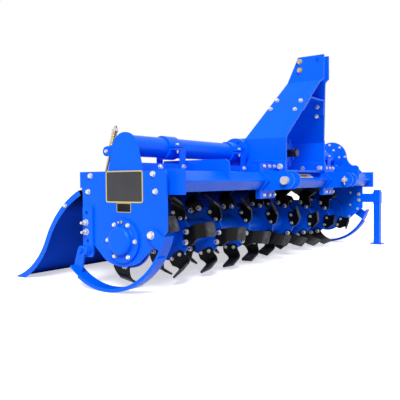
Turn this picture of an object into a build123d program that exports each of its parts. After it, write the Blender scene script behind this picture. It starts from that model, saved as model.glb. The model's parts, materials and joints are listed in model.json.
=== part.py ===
from build123d import *
from math import cos, radians, sin, sqrt, tan
import os

os.makedirs("parts", exist_ok=True)

# Rotary tiller for a tractor's three-point linkage, in millimetres. X runs along the rotor, with
# the gear case at +X; -Y faces the tractor; Z = 0 is the ground that the skids stand on.
# Fore-and-aft places (dy) are distances behind the rotor axis, made into points by at().

# ---- driving dimensions: across the machine -----------------------------------------------
skid_span = 2500.0       # over both skids
side_plate_t = 8.0
far_wall_t = 10.0
case_depth = 90.0        # far wall's inner face to the gear case cover's outer face
case_wall = 8.0
cover_t = 8.0
clamp_near = 287.5       # near wall's inner face to the outer tube clamp's middle
clamp_far = 205.5        # and the same at the far wall
clamp_mid = 352.0        # centre plane to the two inner tube clamps
gusset_near = 399.5      # near wall's inner face to its deck gusset
gusset_far = 186.5
rod_near = 197.5         # near wall's inner face to the near spring rod
rod_far = 115.5
knuckle_near = 57.5      # near wall's inner face to the first hinge knuckle
knuckle_far = 115.5
knuckle_pitch = 480.0

# ---- driving dimensions: rotor --------------------------------------------------------------
rotor_y = -156.0
rotor_z = 226.0
rotor_tube_r = 62.0
rotor_tube_wall = 8.0
journal_r = 30.0
journal_depth = 30.0
running_gap = 0.05       # radial, shaft in bearing
weld_gap = 0.3           # round piece in round seat
gang_count = 9
first_gang = 37.5        # near wall's inner face to the first flange's middle
last_gang = 43.5         # last flange's middle to the far wall's inner face
flange_r = 124.0
flange_t = 12.0
blade_t = 10.0
blade_w = 70.0
blade_tip_r = 216.0
blade_reach = 105.0      # flange's middle to the blade's end, along the rotor
blade_bend = 68.0        # degrees, from the shank to the tip
blade_bend_r = 35.0
blade_corner_r = 8.0
shank_foot_r = 96.0      # rotor axis to the shank's lower edge
shank_foot_corner_r = 20.0
shank_lead = 67.0        # how far the shank's foot runs ahead of the tip's middle
shank_lag = 23.0
shank_neck_r = 134.0     # where the shank starts to narrow
shank_waist_r = 172.0    # where it has the tip's width
blade_helix = 12.6       # degrees from one flange to the next
first_phase = 69.2

# ---- driving dimensions: end walls, gear case and rotor hubs ----------------------------------
wall_front = -245.0
wall_rear = 247.0
wall_top = 530.0
wall_nose = 12.0
ear_rear = 263.0
ear_z = 457.0
toe_z = 275.0
heel_dy = 180.0
heel_z = 200.0
foot_front_dy = -95.0
foot_front_z = 140.0
foot_low_dy = 8.0
foot_low_z = 111.0
foot_rear_dy = 112.0
foot_rear_z = 138.0
arch_r = 118.0           # far wall's round top
arch_up = 9.0            # its centre above the cross tube's
arch_end = 5.0           # degrees above level where its hollow foot starts
shoulder_dy = -204.0     # where the foot runs out into the shoulder
shoulder_front = -213.0
shoulder_z = 580.0
beam_margin = 8.0        # far wall past the beam's corners
case_front = -257.0
case_top_r = 87.0
case_low_r = 106.0
shaft_hole_gap = 6.0
housing_r = 60.0
housing_in = 14.0
hub_flange_r = 97.0
hub_flange_t = 12.0
cap_r = 65.0
cap_out = 27.0
cap_round_r = 20.0
far_housing_in = 8.0

# ---- driving dimensions: deck and hinge --------------------------------------------------------
deck_z = 505.0           # top face of the hood's flat deck
hood_t = 4.0
deck_rear = 60.0
hood_rear = 250.0
hood_rear_z = 460.0
notch_depth = 48.0
hinge_bar_t = 8.0
hinge_bar_h = 36.0
hinge_bar_up = 12.0
hinge_dy = 272.0
hinge_z = 455.0
hinge_rod_r = 8.0
knuckle_r = 14.0
knuckle_len = 60.0
knuckle_web = 16.0
moving_gap = 6.0         # between pieces that turn past each other

# ---- driving dimensions: beam, cross tube ------------------------------------------------------
beam_dy = -249.0
beam_z = 482.0
beam_side = 70.0
beam_wall = 6.0
beam_corner_r = 8.0
beam_flange_t = 8.0
beam_flange_gap = 32.0   # near wall's inner face to the beam's near flange
beam_flange_h = 110.0
near_flange_dy = -232.0
near_flange_w = 154.0
far_flange_w = 120.0
spacer_r = 9.0
spacer_hole_r = 5.5
spacer_places = ((-174.0, 515.0), (-186.0, 441.0))       # distance behind the rotor axis, height
tube_dy = -16.0
tube_z = 641.0
tube_r = 47.5
tube_wall = 6.0
end_plate_t = 8.0
end_plate_r = 72.0
end_plate_dy = -8.0
end_plate_z = 628.0
end_plate_foot_w = 212.0
end_plate_foot_h = 10.0
boss_r = 85.0
boss_t = 20.0
collar_len = 14.0
collar_r = 66.0

# ---- driving dimensions: deck rails, tube clamps, gussets ----------------------------------------
rail_dy = -86.0
rail_leg = 50.0
rail_t = 6.0
rail_top = 565.0
clamp_w = 85.0
clamp_t = 8.0
clamp_ear_t = 10.0
clamp_ear_reach = 78.0
clamp_split = 2.0        # half the gap between a clamp's two halves
strap_side = 4.0         # clamp's middle to its straps
strap_w = 40.0
strap_foot_up = 20.0
rear_strap_dy = 52.0     # rear strap's rear face
rear_strap_t = 8.0
gusset_t = 8.0
gusset_top = 585.0
gusset_front = -295.0
gusset_rear = 95.0
gusset_corner_r = 26.0

# ---- driving dimensions: gearbox, cradle, PTO shaft ----------------------------------------------
gearbox_half = 120.0
gearbox_front = -150.0
gearbox_rear = 118.0
gearbox_top = 736.0
gearbox_corner_r = 36.0
joint_out = 21.0         # cross tubes' joints outside the mast
joint_flange_r = 80.0
joint_flange_t = 12.0
seat_depth = 40.0
seat_gap = 8.0
cover_plate_r = 90.0
cover_plate_t = 40.0
nose_r = 50.0
nose_len = 8.0
cradle_t = 12.0
cradle_flange_t = 8.0
cradle_top = 588.0
cradle_front = -300.0
pto_r = 22.2             # 1 3/4 inch shaft
pto_front = -262.0
pto_chamfer = 2.0
pto_collar_r = 27.0
pto_collar_out = 1.0     # how far the thicker bearing seat shows outside the nose

# ---- driving dimensions: mast --------------------------------------------------------------------
mast_half = 265.0        # outer face of the mast's lower part
mast_top_half = 39.0
mast_t = 12.0
mast_foot_z = 535.0
mast_knee_z = 714.0
mast_top_z = 1180.0
mast_neck = 140.0        # the straight top part's height
mast_front = -441.0
mast_foot_front = -320.0
mast_shoulder_dy = -215.0
mast_crown_dy = -287.0
mast_chin_dy = -417.0
mast_bend_up = 10.0      # outline's corners below the neck, and its lower corner above the knee
mast_chin_up = 20.0
top_hole_dy = -403.0
top_hole_down = 30.0
top_hole_r = 12.85
brace_down = 95.0        # below the mast's neck
brace_t = 8.0
brace_leg = 80.0
mast_lug_front = -322.0
mast_lug_top = 588.0
mast_lug_low = 528.0
mast_lug_foot = -290.0

# ---- driving dimensions: hitch -------------------------------------------------------------------
hitch_half = 412.5       # Category II lower pins, 825 mm apart
hitch_x = 25.0           # middle between them: the brackets are clamped where the tractor needs them
hitch_w = 160.0
hitch_t = 12.0
hitch_shift = 20.0       # bracket plate's middle from its pin's middle
flange_split = 2.0       # half the gap between the front and rear clamp flanges
clamp_flange = 94.0      # beam centre to the flanges' ends
cheek_gap = 62.0
cheek_t = 12.0
cheek_r = 45.0
pin_dy = -400.0
pin_z = 482.0
pin_r = 14.0
pin_head_r = 20.5
pin_head_t = 24.0
pin_out = 26.0           # pin past the cheeks

# ---- driving dimensions: skids -------------------------------------------------------------------
skid_w = 65.0
skid_r = 350.0
skid_dy = 64.0
skid_t = 8.0
skid_front_angle = -74.0     # degrees behind straight down
skid_rear_angle = 42.0
wear_t = 8.0
wear_w = 54.0
wear_front_angle = -58.0
wear_rear_angle = 31.0
skid_bar_t = 12.0
skid_bar_r = 30.0
bar_pivot = (-170.0, 258.0)      # distances behind the rotor axis, heights
bar_foot = (-277.0, 183.0)
strap_t = 10.0
strap_middle = (208.0, 260.0)
strap_size = (62.0, 236.0)
strap_corner_r = 16.0
strap_holes = ((214.0, 343.0), (209.0, 214.0))
strap_bolts = ((217.0, 299.0), (215.0, 256.0))
strap_hole_r = 9.0
arm_head = (243.0, 170.0)
arm_foot = (267.0, 85.0)
arm_tab = (203.0, 172.0)
arm_head_r = 22.0
arm_foot_r = 27.0
arm_tab_r = 17.0
spacer_block_r = 18.0

# ---- driving dimensions: parking stand -----------------------------------------------------------
stand_out = 90.0         # far wall's outer face to the post's middle
post_clear = 6.0         # the raised post to the beam's far flange
post_side = 44.0
post_wall = 4.0
post_top = 405.0
sleeve_wall = 3.0
sleeve_z = 347.0
sleeve_h = 84.0
sleeve_arm_h = 64.0
sleeve_arm_t = 10.0
sleeve_arm_rear = -195.0
slide_gap = 0.3
foot_side = 84.0
foot_t = 6.0

# ---- driving dimensions: trailing board and spring rods ------------------------------------------
board_t = 5.0
board_rim = 28.0
board_end_gap = 7.5
board_slope = 25.0       # degrees below level where the board leaves the hinge
board_bend_dy = 530.0
board_bend_z = 205.0
board_tip_dy = 757.0
eye_along = 44.0         # down the board from the hinge to the spring rod's eye
eye_above = 24.0
eye_half = 10.0
eye_r = 18.0
eye_slot_r = 10.5
eye_pin_r = 6.0
lug_gap = 1.0
lug_t = 8.0
lug_r = 16.0
lug_spread = 8.0
rod_r = 6.5
rod_len = 313.0
rod_lean = 18.0          # degrees forward of upright
swivel_at = 183.0        # up the rod from its eye
swivel_r = 16.0
swivel_half = 20.0
arm_t = 8.0
arm_margin = 8.0
arm_root_dy = 14.0       # arm's root behind the cross tube's centre
arm_root_r = 34.0

# ---- places worked out from them -----------------------------------------------------------------
plate_span = skid_span - 2 * skid_bar_t - skid_w      # each front bar ends over its skid's middle
near_out = -plate_span / 2
near_in = near_out + side_plate_t
case_out = plate_span / 2
far_in = case_out - case_depth
far_out = far_in + far_wall_t
skid_out = skid_span / 2
beam_near = near_in + beam_flange_gap + beam_flange_t
beam_far = case_out - beam_flange_t
stand_dy = beam_dy - (far_flange_w + post_side) / 2 - post_clear
beam_half = beam_side / sqrt(2)                                # square corner to centre
beam_top = beam_z + beam_half - beam_corner_r * (sqrt(2) - 1)
deck_front = beam_dy + beam_half - (deck_z - beam_z)
gang_pitch = (far_in - near_in - first_gang - last_gang) / (gang_count - 1)
hitch_xs = (hitch_x - hitch_half, hitch_x + hitch_half)
mast_neck_z = mast_top_z - mast_neck
mast_rear = tube_dy - tube_r - weld_gap                        # the plates stand against the cross tube
top_hole_z = mast_top_z - top_hole_down
joint_x = mast_half + joint_out                                # where the cross tubes bolt to the gearbox


def at(behind, height):
    """A point of a fore-and-aft plane: so far behind the rotor axis, so high above the ground."""
    return (rotor_y + behind, height)


def wall_foot():
    """The rounded lower edge that both end walls share, from front to rear."""
    return ThreePointArc(
        at(foot_front_dy, foot_front_z), at(foot_low_dy, foot_low_z), at(foot_rear_dy, foot_rear_z)
    )


def case_shape(wall=0):
    """The gear case's side view, drawn into the open sketch: a hull round its two end circles."""
    with Locations(at(tube_dy, tube_z)):
        Circle(case_top_r - wall)
    with Locations(at(0, rotor_z)):
        Circle(case_low_r - wall)
    make_hull()


# ---- end walls and gear case ---------------------------------------------------------------------
with BuildPart() as near_side_plate:
    with BuildSketch(Plane.YZ.offset(near_out)):
        with BuildLine():
            foot = wall_foot()
            Polyline(
                foot @ 1, at(heel_dy, heel_z), at(wall_rear, heel_z), at(wall_rear, ear_z),
                at(ear_rear, ear_z), at(ear_rear, wall_top), at(wall_front + wall_nose, wall_top),
                at(wall_front, wall_top - wall_nose), at(wall_front, toe_z), foot @ 0,
            )
        make_face()
        with Locations(at(0, rotor_z)):
            Circle(housing_r + weld_gap, mode=Mode.SUBTRACT)
    extrude(amount=side_plate_t)
near_side_plate.part.label = "near_side_plate"
export_step(near_side_plate.part, "parts/near_side_plate.step")

arch_z = tube_z + arch_up
with BuildPart() as far_wall:
    with BuildSketch(Plane.YZ.offset(far_in)):
        with BuildLine():
            foot = wall_foot()
            arch = ThreePointArc(
                at(tube_dy + arch_r, arch_z), at(tube_dy, arch_z + arch_r),
                at(tube_dy - arch_r * cos(radians(arch_end)), arch_z + arch_r * sin(radians(arch_end))),
            )
            hollow = TangentArc(arch @ 1, at(shoulder_dy, shoulder_z), tangent=arch % 1)
            Polyline(
                foot @ 1, at(heel_dy, heel_z), at(wall_rear, heel_z), at(wall_rear, ear_z),
                at(ear_rear, ear_z), at(ear_rear, wall_top), at(tube_dy + arch_r, wall_top), arch @ 0,
            )
            Polyline(
                hollow @ 1, at(shoulder_front, shoulder_z), at(beam_dy, beam_z + beam_half + beam_margin),
                at(beam_dy, beam_z + beam_half), at(beam_dy + beam_half, beam_z),
                at(beam_dy, beam_z - beam_half), at(case_front, beam_z - beam_half - beam_margin),
                at(case_front, toe_z), foot @ 0,
            )
        make_face()
        with Locations(at(0, rotor_z)):
            Circle(housing_r + weld_gap, mode=Mode.SUBTRACT)
    extrude(amount=far_wall_t)
far_wall.part.label = "far_wall"
export_step(far_wall.part, "parts/far_wall.step")

with BuildPart() as gear_case:
    with BuildSketch(Plane.YZ.offset(far_out)):
        case_shape()
    extrude(amount=case_out - cover_t - far_out)
    with BuildSketch(Plane.YZ.offset(far_out + case_wall)):
        case_shape(case_wall)
    extrude(amount=case_out - cover_t - far_out - case_wall, mode=Mode.SUBTRACT)
    with BuildSketch(Plane.YZ.offset(far_out)):
        with Locations(at(0, rotor_z)):
            Circle(journal_r + shaft_hole_gap)
    extrude(amount=case_wall, mode=Mode.SUBTRACT)
gear_case.part.label = "gear_case"
export_step(gear_case.part, "parts/gear_case.step")

with BuildPart() as gear_case_cover:
    with BuildSketch(Plane.YZ.offset(case_out - cover_t)):
        case_shape()
    extrude(amount=cover_t)
gear_case_cover.part.label = "gear_case_cover"
export_step(gear_case_cover.part, "parts/gear_case_cover.step")

# ---- front beam and its end flanges --------------------------------------------------------------
with BuildPart() as front_beam:
    with BuildSketch(Plane.YZ.offset(beam_near)):
        with Locations(at(beam_dy, beam_z)):
            RectangleRounded(beam_side, beam_side, beam_corner_r, rotation=45)
            RectangleRounded(
                beam_side - 2 * beam_wall, beam_side - 2 * beam_wall, beam_corner_r - beam_wall,
                rotation=45, mode=Mode.SUBTRACT,
            )
    extrude(amount=beam_far - beam_near)
front_beam.part.label = "front_beam"
export_step(front_beam.part, "parts/front_beam.step")

with BuildPart() as beam_flanges:
    with BuildSketch(Plane.YZ.offset(beam_near - beam_flange_t)):
        with Locations(at(near_flange_dy, beam_z)):
            Rectangle(near_flange_w, beam_flange_h)
    extrude(amount=beam_flange_t)
    with BuildSketch(Plane.YZ.offset(near_in)):
        with Locations(*[at(*place) for place in spacer_places]):
            Circle(spacer_r)
            Circle(spacer_hole_r, mode=Mode.SUBTRACT)
    extrude(amount=beam_flange_gap)
    with BuildSketch(Plane.YZ.offset(beam_far)):
        with Locations(at(beam_dy, beam_z)):
            Rectangle(far_flange_w, beam_flange_h)
    extrude(amount=beam_flange_t)
beam_flanges.part.label = "beam_flanges"
export_step(beam_flanges.part, "parts/beam_flanges.step")

# ---- hood, hinge rail and hinge rod --------------------------------------------------------------
hitch_notch = hitch_w + 2 * moving_gap
with BuildPart() as hood:
    with BuildSketch(Plane.YZ.offset(near_in)):
        with BuildLine():
            Polyline(
                at(deck_front, deck_z), at(deck_rear, deck_z), at(hood_rear, hood_rear_z),
                at(hood_rear, hood_rear_z - hood_t), at(deck_rear, deck_z - hood_t),
                at(deck_front + hood_t, deck_z - hood_t), close=True,
            )
        make_face()
    extrude(amount=far_in - near_in)
    with BuildSketch(Plane.XY.offset(deck_z - 2 * hood_t)):
        with Locations(*[(x + hitch_shift, rotor_y + beam_dy + beam_half) for x in hitch_xs]):
            Rectangle(hitch_notch, notch_depth)
    extrude(amount=3 * hood_t, mode=Mode.SUBTRACT)
    with BuildSketch(Plane.YZ.offset(beam_near - beam_flange_t - weld_gap)):
        with Locations(at(near_flange_dy, beam_z)):
            Rectangle(near_flange_w + 2 * weld_gap, beam_flange_h)
    extrude(amount=beam_flange_t + 2 * weld_gap, mode=Mode.SUBTRACT)
hood.part.label = "hood"
export_step(hood.part, "parts/hood.step")

hinge_near = near_in + board_end_gap
hinge_far = far_in - board_end_gap
knuckle_xs = [k * knuckle_pitch for k in (-1.5, -0.5, 0.5, 1.5)]      # where the hood's knuckles start
knuckle_xs = [near_in + knuckle_near, *knuckle_xs, far_in - knuckle_far]
with BuildPart() as hinge_rail:
    with BuildSketch(Plane.YZ.offset(near_in)):
        with Locations(at(hood_rear + hinge_bar_t / 2, hood_rear_z - hinge_bar_h / 2 + hinge_bar_up)):
            Rectangle(hinge_bar_t, hinge_bar_h)
    extrude(amount=far_in - near_in)
    for knuckle_x in knuckle_xs:
        with BuildSketch(Plane.YZ.offset(knuckle_x)):
            with Locations(at(hinge_dy, hinge_z)):
                Circle(knuckle_r)
            with Locations(at(hinge_dy - knuckle_r / 2, hinge_z)):
                Rectangle(knuckle_r, knuckle_web)
            with Locations(at(hinge_dy, hinge_z)):
                Circle(hinge_rod_r + running_gap, mode=Mode.SUBTRACT)
        extrude(amount=knuckle_len)
hinge_rail.part.label = "hinge_rail"
export_step(hinge_rail.part, "parts/hinge_rail.step")

with BuildPart() as hinge_rod:
    with BuildSketch(Plane.YZ.offset(hinge_near)):
        with Locations(at(hinge_dy, hinge_z)):
            Circle(hinge_rod_r)
    extrude(amount=hinge_far - hinge_near)
hinge_rod.part.label = "hinge_rod"
export_step(hinge_rod.part, "parts/hinge_rod.step")

# ---- cross tubes, end plate, boss ----------------------------------------------------------------
tube_near = near_in + end_plate_t
tube_far = far_in - boss_t
for side, start, end, flange_start in (
    ("near", tube_near, -joint_x, -joint_x - joint_flange_t),
    ("far", joint_x, tube_far, joint_x),
):
    with BuildPart() as cross_tube:
        with BuildSketch(Plane.YZ.offset(start)):
            with Locations(at(tube_dy, tube_z)):
                Circle(tube_r)
        extrude(amount=end - start)
        with BuildSketch(Plane.YZ.offset(flange_start)):
            with Locations(at(tube_dy, tube_z)):
                Circle(joint_flange_r)
        extrude(amount=joint_flange_t)
        with BuildSketch(Plane.YZ.offset(start)):
            with Locations(at(tube_dy, tube_z)):
                Circle(tube_r - tube_wall)
        extrude(amount=end - start, mode=Mode.SUBTRACT)
    cross_tube.part.label = f"cross_tube_{side}"
    export_step(cross_tube.part, f"parts/cross_tube_{side}.step")

with BuildPart() as tube_end_plate:
    with BuildSketch(Plane.YZ.offset(near_in)):
        with Locations(at(end_plate_dy, end_plate_z)):
            Circle(end_plate_r)
        with Locations(at(end_plate_dy, deck_z + end_plate_foot_h / 2)):
            Rectangle(end_plate_foot_w, end_plate_foot_h)
        make_hull()
    extrude(amount=end_plate_t)
tube_end_plate.part.label = "tube_end_plate"
export_step(tube_end_plate.part, "parts/tube_end_plate.step")

with BuildPart() as far_tube_boss:
    with BuildSketch(Plane.YZ.offset(tube_far)):
        with Locations(at(tube_dy, tube_z)):
            Circle(boss_r)
    extrude(amount=boss_t)
    with BuildSketch(Plane.YZ.offset(tube_far - collar_len)):
        with Locations(at(tube_dy, tube_z)):
            Circle(collar_r)
            Circle(tube_r + weld_gap, mode=Mode.SUBTRACT)
    extrude(amount=collar_len)
far_tube_boss.part.label = "far_tube_boss"
export_step(far_tube_boss.part, "parts/far_tube_boss.step")

# ---- deck rails, tube clamps, gussets ------------------------------------------------------------
with BuildPart() as deck_rails:
    for start, end in ((tube_near, -mast_half), (mast_half, far_in)):
        with BuildSketch(Plane.YZ.offset(start)):
            with BuildLine():
                Polyline(
                    at(rail_dy, deck_z), at(rail_dy + rail_leg, deck_z),
                    at(rail_dy + rail_leg, deck_z + rail_t), at(rail_dy + rail_t, deck_z + rail_t),
                    at(rail_dy + rail_t, rail_top), at(rail_dy, rail_top), close=True,
                )
            make_face()
        extrude(amount=end - start)
deck_rails.part.label = "deck_rails"
export_step(deck_rails.part, "parts/deck_rails.step")


def clamp_half(up):
    """One half of a tube clamp, drawn into the open sketch: up is +1 for the cap, -1 for the saddle."""
    with Locations(at(tube_dy, tube_z)):
        Circle(tube_r + weld_gap + clamp_t)
    with Locations(at(tube_dy, tube_z + up * (clamp_split + clamp_ear_t / 2))):
        Rectangle(2 * clamp_ear_reach, clamp_ear_t)
    with Locations(at(tube_dy, tube_z)):
        Circle(tube_r + weld_gap, mode=Mode.SUBTRACT)
    with Locations(at(tube_dy, tube_z + up * (clamp_split - tube_r))):
        Rectangle(2 * clamp_ear_reach, 2 * tube_r, mode=Mode.SUBTRACT)


clamp_xs = [near_in + clamp_near, -clamp_mid, clamp_mid, far_in - clamp_far]
strap_xs = [x + strap_side for x in clamp_xs[:2]] + [x - strap_side - strap_w for x in clamp_xs[2:]]
with BuildPart() as clamp_caps:
    for clamp_x in clamp_xs:
        with BuildSketch(Plane.YZ.offset(clamp_x - clamp_w / 2)):
            clamp_half(1)
        extrude(amount=clamp_w)
clamp_caps.part.label = "clamp_caps"
export_step(clamp_caps.part, "parts/clamp_caps.step")

strap_top = tube_z - clamp_split
with BuildPart() as clamp_saddles:
    for clamp_x, strap_x in zip(clamp_xs, strap_xs):
        with BuildSketch(Plane.YZ.offset(clamp_x - clamp_w / 2)):
            clamp_half(-1)
        extrude(amount=clamp_w)
        with BuildSketch(Plane.YZ.offset(strap_x)):
            with BuildLine():
                Polyline(
                    at(tube_dy - clamp_ear_reach, strap_top), at(rail_dy, strap_top),
                    at(rail_dy, deck_z + strap_foot_up),
                    at(tube_dy - clamp_ear_reach, deck_z + strap_foot_up), close=True,
                )
            make_face()
            with BuildLine():
                Polyline(
                    at(rear_strap_dy, strap_top), at(rear_strap_dy, deck_z),
                    at(rear_strap_dy - rear_strap_t, deck_z), at(rear_strap_dy - rear_strap_t, strap_top),
                    close=True,
                )
            make_face()
        extrude(amount=strap_w)
clamp_saddles.part.label = "clamp_saddles"
export_step(clamp_saddles.part, "parts/clamp_saddles.step")

# Each gusset stands on the beam's front upper face, the deck and the hood's slope, notched for the rail.
hood_fall = (deck_z - hood_rear_z) / (hood_rear - deck_rear)
with BuildPart() as deck_gussets:
    for gusset_x in (near_in + gusset_near, far_in - gusset_far):
        with BuildSketch(Plane.YZ.offset(gusset_x)):
            with BuildLine():
                corner = RadiusArc(
                    at(gusset_front + gusset_corner_r, gusset_top),
                    at(gusset_front, gusset_top - gusset_corner_r), -gusset_corner_r,
                )
                Polyline(
                    corner @ 1, at(gusset_front, beam_z + beam_half + gusset_front - beam_dy),
                    at(beam_dy, beam_z + beam_half), at(deck_front, deck_z), at(rail_dy, deck_z),
                    at(rail_dy, rail_top), at(rail_dy + rail_t, rail_top),
                    at(rail_dy + rail_t, deck_z + rail_t), at(rail_dy + rail_leg, deck_z + rail_t),
                    at(rail_dy + rail_leg, deck_z),
                    at(deck_rear, deck_z), at(gusset_rear, deck_z - hood_fall * (gusset_rear - deck_rear)),
                    at(gusset_rear, gusset_top), corner @ 0,
                )
            make_face()
        extrude(amount=gusset_t)
deck_gussets.part.label = "deck_gussets"
export_step(deck_gussets.part, "parts/deck_gussets.step")

# ---- gearbox, cradle and PTO shaft ---------------------------------------------------------------
cradle_z = beam_top + weld_gap
cradle_half = mast_half - mast_t
with BuildPart() as gearbox_cradle:
    with BuildSketch(Plane.XZ.offset(-(rotor_y + gearbox_rear))):
        with BuildLine():
            Polyline(
                (-cradle_half, cradle_z), (cradle_half, cradle_z), (cradle_half, cradle_top),
                (cradle_half - cradle_flange_t, cradle_top),
                (cradle_half - cradle_flange_t, cradle_z + cradle_t),
                (cradle_flange_t - cradle_half, cradle_z + cradle_t),
                (cradle_flange_t - cradle_half, cradle_top), (-cradle_half, cradle_top), close=True,
            )
        make_face()
    extrude(amount=gearbox_rear - cradle_front)
    with BuildSketch(Plane.XZ.offset(-(rotor_y + rear_strap_dy))):
        with Locations((0, (deck_z + cradle_z) / 2)):
            Rectangle(2 * cradle_half, cradle_z - deck_z)
    extrude(amount=cradle_t)
gearbox_cradle.part.label = "gearbox_cradle"
export_step(gearbox_cradle.part, "parts/gearbox_cradle.step")

gearbox_foot = cradle_z + cradle_t
with BuildPart() as gearbox:
    with BuildSketch(Plane.XZ.offset(-(rotor_y + gearbox_rear))):
        with Locations((0, (gearbox_foot + gearbox_top) / 2)):
            RectangleRounded(2 * gearbox_half, gearbox_top - gearbox_foot, gearbox_corner_r)
    extrude(amount=gearbox_rear - gearbox_front)
    with BuildSketch(Plane.YZ.offset(-joint_x)):
        with Locations(at(tube_dy, tube_z)):
            Circle(tube_r)
    extrude(amount=2 * joint_x)
    with BuildSketch(Plane.YZ.offset(-joint_x), Plane.YZ.offset(joint_x - joint_flange_t)):
        with Locations(at(tube_dy, tube_z)):
            Circle(joint_flange_r)
    extrude(amount=joint_flange_t)
    with BuildSketch(Plane.XZ.offset(-(rotor_y + gearbox_front))):
        with Locations((0, tube_z)):
            Circle(pto_collar_r + seat_gap)
    extrude(amount=-seat_depth, mode=Mode.SUBTRACT)
gearbox.part.label = "gearbox"
export_step(gearbox.part, "parts/gearbox.step")

with BuildPart() as gearbox_cover:
    with BuildSketch(Plane.XZ.offset(-(rotor_y + gearbox_front))):
        with Locations((0, tube_z)):
            Circle(cover_plate_r)
    extrude(amount=cover_plate_t)
    with BuildSketch(Plane.XZ.offset(cover_plate_t - (rotor_y + gearbox_front))):
        with Locations((0, tube_z)):
            Circle(nose_r)
    extrude(amount=nose_len)
    with BuildSketch(Plane.XZ.offset(-(rotor_y + gearbox_front))):
        with Locations((0, tube_z)):
            Circle(pto_collar_r + running_gap)
    extrude(amount=cover_plate_t + nose_len, mode=Mode.SUBTRACT)
gearbox_cover.part.label = "gearbox_cover"
export_step(gearbox_cover.part, "parts/gearbox_cover.step")

pto_rear = gearbox_front + seat_depth - seat_gap
pto_collar_front = gearbox_front - cover_plate_t - nose_len - pto_collar_out
with BuildPart() as pto_shaft:
    with BuildSketch(Plane.XZ.offset(-(rotor_y + pto_rear))):
        with Locations((0, tube_z)):
            Circle(pto_collar_r)
    extrude(amount=pto_rear - pto_collar_front)
    with BuildSketch(Plane.XZ.offset(-(rotor_y + pto_collar_front))):
        with Locations((0, tube_z)):
            Circle(pto_r)
    extrude(amount=pto_collar_front - pto_front)
    chamfer(pto_shaft.faces().sort_by(Axis.Y)[0].edges(), pto_chamfer)
pto_shaft.part.label = "pto_shaft"
export_step(pto_shaft.part, "parts/pto_shaft.step")

# ---- mast ----------------------------------------------------------------------------------------
mast_run = (mast_half - mast_top_half) / (mast_neck_z - mast_knee_z)      # lean of the middle part
mast_wall_x = mast_t * sqrt(1 + mast_run ** 2)                            # its thickness along X


def mast_inner(height):
    """Distance from the centre plane to a mast plate's inner face, in the leaning part."""
    return mast_half - mast_run * (height - mast_knee_z) - mast_wall_x


mast_outer_line = (
    (mast_half, mast_foot_z), (mast_half, mast_knee_z), (mast_top_half, mast_neck_z),
    (mast_top_half, mast_top_z),
)
knee_shift = mast_t * (sqrt(1 + mast_run ** 2) - 1) / mast_run            # inner bends sit this much lower
mast_inner_line = (
    (mast_top_half - mast_t, mast_top_z), (mast_top_half - mast_t, mast_neck_z - knee_shift),
    (mast_half - mast_t, mast_knee_z - knee_shift), (mast_half - mast_t, mast_foot_z),
)
mast_side_view = (
    at(mast_rear, mast_foot_z), at(mast_rear, mast_knee_z),
    at(mast_shoulder_dy, mast_neck_z - mast_bend_up), at(mast_crown_dy, mast_top_z),
    at(mast_front, mast_top_z), at(mast_front, mast_neck_z + mast_chin_up - mast_bend_up),
    at(mast_chin_dy, mast_neck_z - mast_bend_up),
    at(mast_foot_front, mast_knee_z + mast_bend_up), at(mast_foot_front, mast_foot_z),
)
for side_name, side in (("near", -1), ("far", 1)):
    with BuildPart() as mast_plate:
        with BuildSketch(Plane.XZ.offset(-(rotor_y + mast_rear))):
            with BuildLine():
                Polyline(*[(side * x, z) for x, z in mast_outer_line + mast_inner_line], close=True)
            make_face()
        extrude(amount=mast_rear - mast_front)
        with BuildSketch(Plane.YZ):
            with BuildLine():
                Polyline(*mast_side_view, close=True)
            make_face()
            with Locations(at(top_hole_dy, top_hole_z)):
                Circle(top_hole_r, mode=Mode.SUBTRACT)
        extrude(amount=side * mast_half, mode=Mode.INTERSECT)
    mast_plate.part.label = f"mast_plate_{side_name}"
    export_step(mast_plate.part, f"parts/mast_plate_{side_name}.step")

brace_top = mast_neck_z - brace_down
brace_low = brace_top - brace_t
brace_foot = brace_top - brace_leg
brace_leg_x = brace_t * sqrt(1 + mast_run ** 2)
with BuildPart() as mast_brace:
    with BuildSketch(Plane.XZ.offset(-(rotor_y + mast_rear))):
        right = (
            (mast_inner(brace_top), brace_top), (mast_inner(brace_foot), brace_foot),
            (mast_inner(brace_foot) - brace_leg_x, brace_foot),
            (mast_inner(brace_low) - brace_leg_x, brace_low),
        )
        left = [(-x, z) for x, z in reversed(right)]
        with BuildLine():
            Polyline(*right, *left, close=True)
        make_face()
    extrude(amount=mast_rear - mast_front)
    with BuildSketch(Plane.YZ):
        with BuildLine():
            Polyline(*mast_side_view, close=True)
        make_face()
    extrude(amount=mast_half, both=True, mode=Mode.INTERSECT)
mast_brace.part.label = "mast_brace"
export_step(mast_brace.part, "parts/mast_brace.step")

with BuildPart() as mast_feet:
    for start in (-mast_half - mast_t, mast_half):
        with BuildSketch(Plane.YZ.offset(start)):
            with BuildLine():
                face_rise = beam_z + beam_half - beam_dy        # of the beam's front upper face
                Polyline(
                    at(mast_lug_foot, face_rise + mast_lug_foot), at(beam_dy, face_rise + beam_dy),
                    at(beam_dy, mast_lug_top), at(mast_lug_front, mast_lug_top),
                    at(mast_lug_front, mast_lug_low), close=True,
                )
            make_face()
        extrude(amount=mast_t)
mast_feet.part.label = "mast_feet"
export_step(mast_feet.part, "parts/mast_feet.step")

# ---- hitch brackets on the beam ------------------------------------------------------------------
knee = beam_half - flange_split
bend = hitch_t * (sqrt(2) - 1)


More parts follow.
